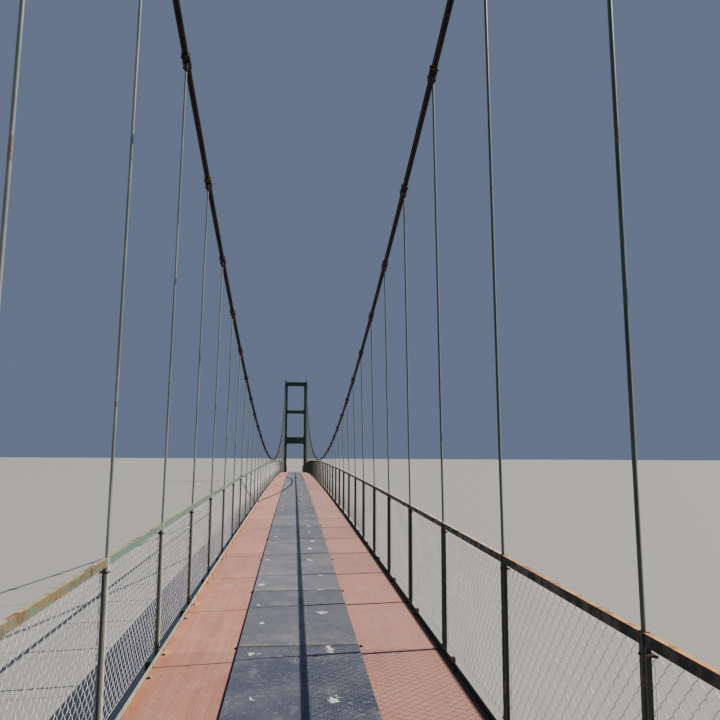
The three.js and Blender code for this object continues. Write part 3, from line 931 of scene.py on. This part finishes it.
class FOOTBRIDGE_OT_deck(bpy.types.Operator):
    """Make the tread plates of the deck and their bolts"""

    bl_idname = "footbridge.deck"
    bl_label = "Deck plates"

    def execute(self, context):
        sizes = context.scene.footbridge_sizes
        material = plate_paint(context.scene.footbridge_colours.plates)
        shells = [Shell() for _ in NUMBERS]
        for i, (start, stop) in enumerate(BAYS):
            low = start + (sizes.plate_gap / 2 if i else 0)
            high = stop - (sizes.plate_gap / 2 if stop < DECK_END else 0)
            half = DECK_HALF - 0.004 * chance(i, 3)
            outline = [(-half, -0.008), (half, -0.008), (half, -0.002), (half - 0.002, 0),
                       (-half + 0.002, 0), (-half, -0.002)]
            middle = (start + stop) / 2
            drop = 0.0015 * chance(i, 5)
            # The plates grow paler over 16 m from the first ones in view.
            faded = min(max((middle + 37) / 16, 0.0), 1.0) * (0.7 + 0.3 * chance(i, 8))
            shells[which_length(middle)].along(outline, [low, high], chance(i, 7), faded, drop)
        settle_lengths("tread_plates", shells, material, "deck_paint", "deck_plates")
        self.bolts()
        return {"FINISHED"}

    def bolts(self):
        """Flat bolt heads along both edges, on their washers, two for each bay."""
        head = Shell()
        head.round((0, 0, 0), 0.019, 0.0, 0.003, 12)
        head.round((0, 0, 0), 0.0125, 0.003, 0.011, 6)
        copies = []
        for i, line in enumerate(LINES):
            for side in (-1, 1):
                for j, step in enumerate((-0.04, -0.7)):
                    x = side * (1.238 + 0.007 * chance(i, j, side + 4))
                    y = line + step + 0.03 * (chance(i, j, side) - 0.5)
                    turn = (0, 0, 3 * chance(i, j, 9))
                    copies.append(copy_at((x, y, deck_rise(y) - 0.0012), turn))
        steel = cast_iron("blackened bolt steel", linear("2A2420"), "5A3A26")
        settle(spread("deck_bolts", head, copies, steel), "railing_paint")


class FOOTBRIDGE_OT_strip(bpy.types.Operator):
    """Make the raised walking strip in the middle of the deck and the plates that lead onto it"""

    bl_idname = "footbridge.strip"
    bl_label = "Walking strip"

    def execute(self, context):
        sizes = context.scene.footbridge_sizes
        material = strip_paint(context.scene.footbridge_colours.strip, sizes.strip_plate)
        shift = sizes.strip_shift
        seams = [SEAM + sizes.strip_plate * i for i in range(-20, 90)]
        seams = [-DECK_END, *[y for y in seams if abs(y) < DECK_END - 0.4], DECK_END]
        shells = [Shell() for _ in NUMBERS]
        tabs = []
        for i, (start, stop) in enumerate(zip(seams, seams[1:])):
            low = start + (0.003 if i else 0)
            high = stop - (0.003 if stop < DECK_END else 0)
            half = STRIP_HALF + 0.0025 * chance(i, 2)
            x0, x1 = shift - half, shift + half
            outline = [(x0, 0.003), (x1, 0.003), (x1, 0.013), (x1 - 0.002, 0.015),
                       (x0 + 0.002, 0.015), (x0, 0.013)]
            middle = (start + stop) / 2
            places = [low, *[y for y in LINES if low < y < high], high]
            faded = 0.0 if middle < SEAM else 0.55 + 0.45 * chance(i, 7)
            shells[which_length(middle)].along(outline, places, 0.3 + 0.4 * chance(i, 6), faded)
            if stop < DECK_END:
                for side in (-1, 1):
                    corner = (shift + side * (STRIP_HALF + 0.0215), stop, deck_rise(stop))
                    tabs.append(copy_at(corner, tone=chance(i, side)))
        settle_lengths("strip_plates", shells, material, "strip_steel", "centre_strip")
        tab = Shell()
        tab.box((-0.02, -0.014, -0.001), (0.02, 0.014, 0.005), 0.5, 0.0, 0.005)
        tab.round((0, 0, 0), 0.009, 0.005, 0.013, 6)
        iron = cast_iron("dark strap iron", linear("222224"), "33302E")
        settle(spread("strip_tabs", tab, tabs, iron), "strip_steel")
        self.thresholds(material)
        return {"FINISHED"}

    def thresholds(self, material):
        """A plate on each abutment that leads onto the deck."""
        shell = Shell()
        for end in ENDS.values():
            y = sorted((end * (DECK_END + 0.012), end * (DECK_END + 0.24)))
            shell.box((-0.9, y[0], 0.001), (0.9, y[1], 0.007), 0.5)
            for x in (-0.8, -0.4, 0.0, 0.4, 0.8):
                shell.round((x, end * (DECK_END + 0.2), 0), 0.014, 0.007, 0.013, 6, 2, 0.3)
        settle(place("threshold_plates", shell.mesh("threshold plates"), material), "strip_steel")


class FOOTBRIDGE_OT_railings(bpy.types.Operator):
    """Make the rails, posts, curbs and post clamps on both sides"""

    bl_idname = "footbridge.railings"
    bl_label = "Railings"

    def execute(self, context):
        colours = context.scene.footbridge_colours
        rails = {
            "left": rail_paint("sunlit enamel on angle", colours.left_rail, (
                (0.22, 0.44, "7D7866", 0.6), (0.09, 0.5, "8F7338", 0.75), (0.08, 0.51, "4F897C", 0.85)),
                "C6B88C", "8A5028", 0.7, "5E847C", "B8B48A"),
            # The right rail is the same enamel as the left, given darker colours: painted shade.
            "right": rail_paint("enamel with painted shade on angle", colours.right_rail, (
                (0.5, 0.44, "22332C", 0.7), (0.1, 0.6, "34504A", 0.5)),
                "F2B678", "B8743E", 0.15, "22362F", "FFF2E2"),
        }
        posts = {
            # One enamel on both sides: the left's faces towards the deck are painted pale as painted light,
            # and the right's colours are darker as painted shade.
            "left": post_paint("green enamel with painted light", colours.left_posts, "5B6B62", "C9CCBC", 0.85),
            "right": post_paint("olive green enamel with painted shade", colours.right_posts, "37482A", "18322D", 0.3),
        }
        iron = cast_iron("rusted clamp iron", linear("221C19"), "4A3226")
        for name, side in SIDES.items():
            self.rails(name, side, rails[name])
            self.curb(name, side, posts[name])
            self.posts(name, side, posts[name])
            self.fittings(name, side, iron)
        self.end_posts(rails["left"])
        return {"FINISHED"}

    def rails(self, name, side, material):
        """One top angle for each bay, cut off at the posts and with a small step from one to the next."""
        shells = [Shell() for _ in NUMBERS]
        for i, (start, stop) in enumerate(BAYS):
            low = start + (0.014 if i else 0)
            high = stop - (0.034 if stop < DECK_END else 0)
            heel = side * RAIL_INSIDE + side * 0.0025 * chance(i, side, 4)
            outline = angle_outline(heel, RAIL_HEIGHT, side * (RAIL_WIDTH - 0.0025), -RAIL_DEPTH)
            wear_and_light = [1.0, 1.0, 0.6, 0.3, 0.0, 0.0, 0.3, 0.0]
            drop = 0.0025 * chance(i, side, 5)
            length = which_length((start + stop) / 2)
            shells[length].along(outline, [low, high], chance(i, side, 7), wear_and_light, drop)
        settle_lengths(f"{name}_rail", shells, material, "railing_paint", f"{name}_railing")

    def curb(self, name, side, material):
        """The low angle that closes the deck's edge."""
        shell = Shell()
        outline = angle_outline(side * (DECK_HALF + 0.003), -0.008, side * 0.026, 0.05)
        # The inner face and the top edge are marked, so that post_paint lays painted light on them on the
        # left and painted shade on the right.
        wear_and_light = [0.0, 0.0, 0.0, 0.0, 0.3, 0.6, 1.0, 0.7]
        for i, (start, stop) in enumerate(BAYS):
            ends = [start + 0.002, stop - 0.002]
            shell.along(outline, ends, chance(i, side, 2), wear_and_light, 0.001 * chance(i, side))
        settle(place(f"{name}_curb", shell.mesh(f"{name} curb"), material), "railing_paint")

    def posts(self, name, side, material):
        """Angle posts from the floor beams up to the rail."""
        post = Shell()
        outline = angle_outline(0, 0, side * POST_SIZE, POST_SIZE)
        # The face turned to the deck is marked most, so that post_paint lays painted light on it on the
        # left and painted shade on the right.
        wear_and_light = [0.0, 0.0, 0.2, 0.0, 0.0, 0.2, 0.4, 1.0]
        height = RAIL_HEIGHT - 0.003 - BEAM_TOP
        post.loft([[(x, y, z) for x, y in outline] for z in (0, height)], 0.5, wear_and_light)
        copies = []
        for i, y in enumerate(LINES):
            foot = (side * POST_INSIDE, y - POST_SIZE / 2, deck_rise(y) + BEAM_TOP)
            copies.append(copy_at(foot, tone=chance(i, side, 3)))
        nodes = [f"{name}_railing_{n}" for n in NUMBERS]
        settle(spread(f"{name}_posts", post, copies, material), "railing_paint", *nodes)

    def end_posts(self, material):
        """The pale posts that close the railings at the towers."""
        for name, side in SIDES.items():
            post = Shell()
            outline = angle_outline(0, 0, side * POST_SIZE, POST_SIZE)
            post.loft([[(x, y, z) for x, y in outline] for z in (0, RAIL_HEIGHT + 0.075)], 0.6, 0.8)
            copies = []
            for end in ENDS.values():
                y = end * (DECK_END - POST_SIZE / 2) - POST_SIZE / 2
                copies.append(copy_at((side * POST_INSIDE, y, BEAM_TOP)))
            settle(spread(f"{name}_end_posts", post, copies, material), "railing_paint")

    def fittings(self, name, side, iron):
        """What holds a post and the woven wire: a clamp under the rail, a hook at the foot and bolts."""
        fitting = Shell()
        top = RAIL_HEIGHT
        x = sorted(side * v for v in (-0.006, 0.046))
        fitting.box((x[0], -0.040, top - 0.097), (x[1], 0.020, top - 0.087), 0.4, 0.0, 0.005)
        fitting.round((side * 0.042, 0.0, top - 0.092), 0.006, -0.052, 0.032, 6, 1, 0.7)
        x = sorted(side * v for v in (-0.010, 0.014))
        fitting.box((x[0], -0.040, 0.052), (x[1], -0.017, 0.066), 0.5, 0.0, 0.004)
        fitting.round((side * 0.002, -0.0285, 0.0), 0.007, 0.066, 0.094, 6, 2, 0.6)
        for z in (0.03, 0.10):
            fitting.round((0, 0.0, z), 0.010, *sorted((-0.010 * side, 0.002 * side)), 6, 0, 0.6)
        copies = []
        for i, y in enumerate(LINES):
            copies.append(copy_at((side * POST_INSIDE, y, deck_rise(y)), tone=chance(i, side, 6)))
        settle(spread(f"{name}_post_fittings", fitting, copies, iron), "railing_paint")


class FOOTBRIDGE_OT_hangers(bpy.types.Operator):
    """Make the hanger rods and the clamps that hold them to the main cables"""

    bl_idname = "footbridge.hangers"
    bl_label = "Hangers and cable clamps"

    def execute(self, context):
        radius = context.scene.footbridge_sizes.hanger / 2
        colours = context.scene.footbridge_colours
        # The right hanger rods are painted darker than the left ones: painted shade.
        steels = {
            "left": rod_steel("weathered zinc rod", colours.left_hangers, "6C7872"),
            "right": rod_steel("green painted rod with painted shade", colours.right_hangers, "2C4139"),
        }
        # The left tie rods are pale, and the right ones are painted dark as painted shade.
        tie_steels = {
            "left": rod_steel("chalked tie rod", linear("8E938A"), "727A70"),
            "right": rod_steel("dark green tie rod with painted shade", linear("1E3530"), "152824"),
        }
        iron = cast_iron("cable clamp iron", linear("201815"), "44302A")
        tie_place = {"left": 1.297, "right": 1.285}
        tie_radius = {"left": 0.008, "right": 0.01}
        # On the right rods the sides towards the sun are marked, so that rod_steel paints them pale as
        # painted light.
        painted_sunward_sides = {"left": 0.0, "right": [1.0, 0.8, 0.6, 0.0, 0.0, 0.0, 0.0, 0.0]}
        for name, side in SIDES.items():
            rod = Shell()
            rod.round((0, 0, 0), radius, 0.0, 1.0, 8, 2, 0.5, painted_sunward_sides[name])
            tie = Shell()
            tie.round((0, 0, 0), tie_radius[name], 0.07, RAIL_HEIGHT - 0.004, 8)
            rods, ties, clamps = [], [], []
            for i, y in enumerate(LINES):
                # A rod ends 120 mm below the rail's top and, above, in the lug under its clamp.
                low = Vector((side * HANGER_FOOT, y, deck_rise(y) + RAIL_HEIGHT - 0.004))
                high = Vector((side * CABLE_PLACE, y, cable_rise(y) - 0.085))
                along = high - low
                turn = tuple(along.to_track_quat("Z", "Y").to_euler())
                low -= along.normalized() * 0.12
                rods.append(copy_at(low, turn, (1, 1, along.length + 0.12), chance(i, side)))
                foot = (side * tie_place[name], y - 0.0275, deck_rise(y))
                ties.append(copy_at(foot, tone=chance(i, side, 5)))
                slope = math.atan((cable_rise(y + 0.01) - cable_rise(y - 0.01)) / 0.02)
                middle = (side * CABLE_PLACE, y, cable_rise(y))
                clamps.append(copy_at(middle, (slope, 0, 0), tone=chance(i, side, 8)))
            settle(spread(f"{name}_hangers", rod, rods, steels[name], 60), "railing_paint")
            settle(spread(f"{name}_tie_rods", tie, ties, tie_steels[name], 60), "railing_paint")
            settle(spread(f"{name}_cable_clamps", self.clamp(), clamps, iron), "saddle_iron")
        return {"FINISHED"}

    def clamp(self):
        """Two grooved halves bolted over the pair of ropes, with a lug for the hanger below."""
        clamp = Shell()
        for low, high, tone in ((0.003, 0.021, 0.6), (-0.021, -0.003, 0.4)):
            clamp.box((-0.038, -0.1, low), (0.038, 0.1, high), tone, 0.0, 0.012)
        for y in (-0.07, 0.07):
            for x in (-0.0385, 0.0385):
                clamp.round((x, y, 0), 0.0045, -0.034, 0.036, 6, 2, 0.8)
                clamp.round((x, y, 0), 0.008, 0.018, 0.027, 6, 2, 0.7)
                clamp.round((x, y, 0), 0.008, -0.027, -0.018, 6, 2, 0.7)
        for x in (-0.015, 0.009):
            clamp.box((x, -0.025, -0.11), (x + 0.006, 0.025, -0.020), 0.5, 0.0, 0.002)
        clamp.round((0, 0, -0.092), 0.008, -0.022, 0.022, 6, 0, 0.9)
        return clamp


class FOOTBRIDGE_OT_mesh(bpy.types.Operator):
    """Weave the wire mesh behind the posts"""

    bl_idname = "footbridge.mesh"
    bl_label = "Woven wire"

    def execute(self, context):
        sizes = context.scene.footbridge_sizes
        zinc = wire_zinc(context.scene.footbridge_colours.wire)
        opening = sizes.opening
        height = MESH_ROWS * opening
        # The mesh's upper edge is 14 mm below the top of the rail.
        foot = RAIL_HEIGHT - 0.014 - height
        start, stop = WOVEN
        tree = woven_tree()
        for name, side in SIDES.items():
            x = side * MESH_PLACE
            copies = []
            for i in range(round((stop - start) / (opening / 2))):
                y = start + (i + 0.5) * opening / 2
                copies.append(copy_at((x, y, deck_rise(y) + foot), (0, 0, math.pi * (i % 2))))
            woven = grown(f"{name}_woven_wire", tree, copies, {
                "Steps": round(6 * MESH_ROWS), "Step Height": opening / 6 * REAL,
                "Half Width": (opening / 4 + sizes.wire / 2) * REAL, "Weave": sizes.weave / 2 * REAL,
                "Wire Radius": sizes.wire / 2 * REAL, "Material": zinc})
            woven.data.shade_smooth()
            settle(woven, "chain_link")
            bars = []
            for low, high in ((-DECK_END, start), (stop, DECK_END)):
                bars += self.crossing(x, low, high, foot, height, opening)
            # Wires that strain the mesh run along both its edges and stand beside each post.
            for level in (foot + 0.002, foot + height - 0.002):
                for low, high in BAYS:
                    bars.append(((x, low, deck_rise(low) + level), (x, high, deck_rise(high) + level)))
            for y in LINES:
                for step in (-0.028, 0.024):
                    upright = (x - side * 0.001, y + step)
                    low = deck_rise(y) + foot
                    bars.append(((*upright, low), (*upright, low + height)))
            self.bars(name, bars, sizes.wire, zinc)
        return {"FINISHED"}

    def crossing(self, x, start, stop, foot, height, opening):
        """Straight crossing wires between two places, cut off at both."""
        bars = []
        for lean in (-1, 1):
            first = math.floor((start - height) / opening)
            last = math.ceil((stop + height) / opening)
            for i in range(first, last):
                base = i * opening
                low, high = sorted(((start - base) * lean, (stop - base) * lean))
                low, high = max(low, 0.0), min(high, height)
                if high - low > 0.02:
                    bars.append(tuple(
                        (x + lean * 0.0018, base + lean * z, deck_rise(base + lean * z) + foot + z)
                        for z in (low, high)))
        return bars

    def bars(self, name, bars, wire, zinc):
        """Straight wires from point to point, as one piece in place of the five sheets."""
        rod = Shell()
        rod.round((0, 0, 0), wire / 2, 0.0, 1.0, 4)
        copies = []
        for low, high in bars:
            along = Vector(high) - Vector(low)
            turn = tuple(along.to_track_quat("Z", "X").to_euler())
            copies.append(copy_at(low, turn, (1, 1, along.length)))
        nodes = [f"{name}_mesh_{n}" for n in NUMBERS]
        settle(spread(f"{name}_mesh_wire", rod, copies, zinc, 180), "chain_link", *nodes)


class FOOTBRIDGE_OT_cables(bpy.types.Operator):
    """Lay the pairs of ropes over the towers and down to the anchors"""

    bl_idname = "footbridge.cables"
    bl_label = "Main cables"

    def execute(self, context):
        steel = rope_steel(context.scene.footbridge_colours.ropes)
        for name, side in SIDES.items():
            piece = place(f"{name}_ropes", self.ropes(name, self.route(side)), steel)
            settle(piece, "wire_rope", f"{name}_main_cable")
        return {"FINISHED"}

    def route(self, side):
        """The middle of the pair: between the towers, over the saddles and down to the anchor blocks."""
        near, far = (
            [saddle_point(side, end, turn) for turn in SADDLE_TURNS] + [anchor_point(side, end)]
            for end in (-1, 1))
        between = [Vector((side * CABLE_PLACE, y * 0.5, cable_rise(y * 0.5))) for y in range(-96, 97)]
        return near[::-1] + between + far

    def ropes(self, name, middle):
        """Two round ropes with a UV map that runs round and along them."""
        points, faces, marks = [], [], []
        sides = 10
        out = Vector((1, 0, 0))
        for shift in (-1, 1):
            first = len(points)
            run = 0.0
            lengths = []
            for i, spot in enumerate(middle):
                before, after = middle[max(i - 1, 0)], middle[min(i + 1, len(middle) - 1)]
                up = (after - before).normalized().cross(out).normalized()
                if i:
                    run += (spot - middle[i - 1]).length
                lengths.append(run)
                for k in range(sides):
                    turn = 2 * math.pi * k / sides
                    across = out * (shift * ROPE_RADIUS + ROPE_RADIUS * math.cos(turn))
                    points.append(spot + across + up * ROPE_RADIUS * math.sin(turn))
            for i in range(len(middle) - 1):
                for k in range(sides):
                    a, b = first + i * sides + k, first + i * sides + (k + 1) % sides
                    faces.append((a, b, b + sides, a + sides))
                    u0, u1 = k / sides, (k + 1) / sides
                    v0, v1 = lengths[i], lengths[i + 1]
                    marks += [(u0, v0), (u1, v0), (u1, v1), (u0, v1)]
            last = first + (len(middle) - 1) * sides
            for start in (first, last):
                faces.append(tuple(range(start, start + sides)))
                marks += [(0.0, 0.0)] * sides
        mesh = bpy.data.meshes.new(f"{name} ropes")
        mesh.from_pydata([tuple(at(*p)) for p in points], [], faces)
        layer = mesh.uv_layers.new(name="lay")
        layer.data.foreach_set("uv", [v for mark in marks for v in mark])
        return face_out(mesh, 50)


class FOOTBRIDGE_OT_steel(bpy.types.Operator):
    """Paint the towers, saddles and beams, and add rivets, stiffeners, gussets and bolts"""

    bl_idname = "footbridge.steel"
    bl_label = "Towers and beams"

    def execute(self, context):
        colours = context.scene.footbridge_colours
        enamel = tower_enamel(colours.towers)
        iron = cast_iron("saddle casting", linear("3B3D3C"), "5C4534")
        primer = beam_primer(colours.beams)
        for end in ENDS:
            for part in ("left_leg", "right_leg", "portal_beam", "middle_beam", "top_beam"):
                repaint(f"{end}_{part}", enamel)
            for side in SIDES:
                repaint(f"{end}_{side}_saddle", iron)
        for n in NUMBERS:
            repaint(f"deck_frame_{n}", primer)
        self.rivets(enamel)
        self.stiffeners(enamel)
        self.bolts(iron)
        self.keepers(iron)
        return {"FINISHED"}

    def rivets(self, enamel):
        """Rivet heads up the flanges of the legs, 0.3 m apart."""
        rivet = Shell()
        rivet.round((0, 0, 0), 0.018, 0.0, 0.006, 8)
        rivet.round((0, 0, 0), 0.011, 0.006, 0.013, 8)
        copies = []
        for end in ENDS.values():
            for side in SIDES.values():
                for face in (-1, 1):
                    for i in range(36):
                        z = 0.3 + 0.3 * i
                        inner, outer = leg_faces(z)
                        for x, facing in ((outer, side), (inner, -side)):
                            spot = (side * x, end * TOWER + face * 0.12, z)
                            copies.append(copy_at(spot, (0, facing * math.pi / 2, 0)))
        settle(spread("leg_rivets", rivet, copies, enamel), "tower_paint")

    def stiffeners(self, enamel):
        """Plates across the H of the legs and beams, and gussets in the corners where they meet."""
        shell = Shell()
        for end in ENDS.values():
            middle = end * TOWER
            for side in SIDES.values():
                # In line with the beams' flanges and halfway between the beams.
                for z in (1.75, 3.52, 4.28, 5.75, 7.22, 7.58, 9.1, 10.64):
                    inner, outer = leg_faces(z)
                    x = sorted((side * (inner + 0.03), side * (outer - 0.03)))
                    for y in ((middle - 0.185, middle - 0.01), (middle + 0.01, middle + 0.185)):
                        shell.box((x[0], y[0], z - 0.006), (x[1], y[1], z + 0.006), 0.45)
                # Below and above each beam, but for the top one, which has nothing above it.
                gussets = [gusset for low, high in TOWER_BEAMS for gusset in ((low, -1), (high, 1))]
                for level, up in gussets[:-1]:
                    corner = leg_faces(level)[0] + 0.004
                    points = [(corner, level), (corner - 0.1, level), (corner - 0.1, level + up * 0.01),
                              (corner - 0.01, level + up * 0.1), (corner, level + up * 0.1)]
                    rings = [[(side * x, middle + y, z) for x, z in points] for y in (-0.008, 0.008)]
                    shell.loft(rings, 0.5)
            for low, high in TOWER_BEAMS:
                for x in (-0.66, -0.33, 0.0, 0.33, 0.66):
                    for y in ((middle - 0.12, middle - 0.005), (middle + 0.005, middle + 0.12)):
                        shell.box((x - 0.005, y[0], low + 0.015), (x + 0.005, y[1], high - 0.015), 0.5)
        settle(place("tower_stiffeners", shell.mesh("tower stiffeners"), enamel), "tower_paint")

    def bolts(self, iron):
        """Anchor bolts through the legs' base plates and bolts beside the saddles."""
        nut = Shell()
        nut.round((0, 0, 0), 0.034, 0.0, 0.005, 10, 2, 0.4)
        nut.round((0, 0, 0), 0.022, 0.005, 0.025, 6, 2, 0.6)
        nut.round((0, 0, 0), 0.011, 0.025, 0.045, 6, 2, 0.7)
        copies = []
        for end in ENDS.values():
            for side in SIDES.values():
                for x, y in ((-0.262, -0.15), (-0.262, 0.15), (0.262, -0.15), (0.262, 0.15),
                             (-0.12, -0.24), (0.12, -0.24), (-0.12, 0.24), (0.12, 0.24)):
                    base = (side * (1.275 + x), end * TOWER + y, 0.033)
                    copies.append(copy_at(base, (0, 0, 3 * chance(x, y, side))))
                for x in (-0.086, 0.086):
                    for y in (-0.08, 0.08):
                        top = (side * (CABLE_PLACE + x), end * TOWER + y, LEG_TOP)
                        copies.append(copy_at(top, (0, 0, 3 * chance(x, y, end)), (0.75, 0.75, 0.75)))
        settle(spread("tower_bolts", nut, copies, iron), "saddle_iron")

    def keepers(self, iron):
        """Bolts through the saddles' cheeks that keep the ropes in."""
        bar = Shell()
        bar.round((0, 0, 0), 0.007, -0.062, 0.062, 6, 0, 0.6)
        for low, high in ((-0.060, -0.050), (0.050, 0.060)):
            bar.round((0, 0, 0), 0.012, low, high, 6, 0, 0.5)
        copies = []
        for end in ENDS.values():
            for side in SIDES.values():
                for y in (-0.06, 0.06):
                    copies.append(copy_at((side * CABLE_PLACE, end * TOWER + y, CABLE_HIGH + 0.03)))
        settle(spread("saddle_keepers", bar, copies, iron), "saddle_iron")


class FOOTBRIDGE_OT_concrete(bpy.types.Operator):
    """Finish the abutments and anchor blocks, and add the rope sockets"""

    bl_idname = "footbridge.concrete"
    bl_label = "Abutments and anchors"

    def execute(self, context):
        colours = context.scene.footbridge_colours
        grey = board_concrete(colours.concrete)
        for end in ENDS:
            for part in ("abutment", "left_anchor", "right_anchor"):
                repaint(f"{end}_{part}", grey)
        self.sockets(cast_iron("socket casting", linear("35332F"), "5E432E"))
        return {"FINISHED"}

    def sockets(self, iron):
        """Where the ropes enter the blocks: a bearing plate, a twin socket and four anchor bolts."""
        shell = Shell()
        for end in ENDS.values():
            for side in SIDES.values():
                low = anchor_point(side, end)
                along = (saddle_point(side, end, SADDLE_TURNS[-1]) - low).normalized()
                across = Vector((1, 0, 0))
                rise = across.cross(along).normalized()
                y = sorted(end * (ANCHOR_FACE - step) for step in (0.028, 0.002))
                shell.box((low.x - 0.2, y[0], -0.15), (low.x + 0.2, y[1], 0.25), 0.5)
                rings = []
                for run, wide, tall in ((0.0, 0.085, 0.06), (0.09, 0.085, 0.06), (0.10, 0.07, 0.045),
                                        (0.34, 0.045, 0.027), (0.345, 0.05, 0.032), (0.38, 0.05, 0.032)):
                    ring = []
                    for k in range(12):
                        turn = 2 * math.pi * k / 12
                        offset = across * wide * math.cos(turn) + rise * tall * math.sin(turn)
                        ring.append(low + along * run + offset)
                    rings.append(ring)
                shell.loft(rings, 0.6)
                y = sorted(end * (ANCHOR_FACE - step) for step in (0.05, 0.025))
                for x in (-0.15, 0.15):
                    for z in (-0.1, 0.2):
                        shell.round((low.x + x, 0, z), 0.028, y[0], y[1], 6, 1, 0.4)
        settle(place("anchor_sockets", shell.mesh("anchor sockets"), iron), "saddle_iron")


class FOOTBRIDGE_PT_panel(bpy.types.Panel):
    """Lists the footbridge's pieces and settings"""

    bl_idname = "FOOTBRIDGE_PT_panel"
    bl_label = "Footbridge"
    bl_space_type = "VIEW_3D"
    bl_region_type = "UI"
    bl_category = "Footbridge"

    def draw(self, context):
        scene = context.scene
        for group in (scene.footbridge_sizes, scene.footbridge_colours, scene.footbridge_light):
            for name in group.__annotations__:
                self.layout.prop(group, name)
        for operator in OPERATORS:
            self.layout.operator(operator.bl_idname)


OPERATORS = (
    FOOTBRIDGE_OT_stage,
    FOOTBRIDGE_OT_deck,
    FOOTBRIDGE_OT_strip,
    FOOTBRIDGE_OT_railings,
    FOOTBRIDGE_OT_hangers,
    FOOTBRIDGE_OT_mesh,
    FOOTBRIDGE_OT_cables,
    FOOTBRIDGE_OT_steel,
    FOOTBRIDGE_OT_concrete,
)
CLASSES = (FootbridgeSizes, FootbridgeColours, FootbridgeLight, *OPERATORS, FOOTBRIDGE_PT_panel)


def register():
    """Makes the classes and the scene's settings known to Blender."""
    for item in CLASSES:
        bpy.utils.register_class(item)
    bpy.types.Scene.footbridge_sizes = PointerProperty(type=FootbridgeSizes)
    bpy.types.Scene.footbridge_colours = PointerProperty(type=FootbridgeColours)
    bpy.types.Scene.footbridge_light = PointerProperty(type=FootbridgeLight)


def unregister():
    """Takes them away again, in the opposite order."""
    del bpy.types.Scene.footbridge_light
    del bpy.types.Scene.footbridge_colours
    del bpy.types.Scene.footbridge_sizes
    for item in reversed(CLASSES):
        bpy.utils.unregister_class(item)


def main():
    """Dresses the whole bridge."""
    register()
    bpy.ops.footbridge.stage()
    bpy.ops.footbridge.deck()
    bpy.ops.footbridge.strip()
    bpy.ops.footbridge.railings()
    bpy.ops.footbridge.hangers()
    bpy.ops.footbridge.mesh()
    bpy.ops.footbridge.cables()
    bpy.ops.footbridge.steel()
    bpy.ops.footbridge.concrete()


if __name__ == "__main__":
    main()
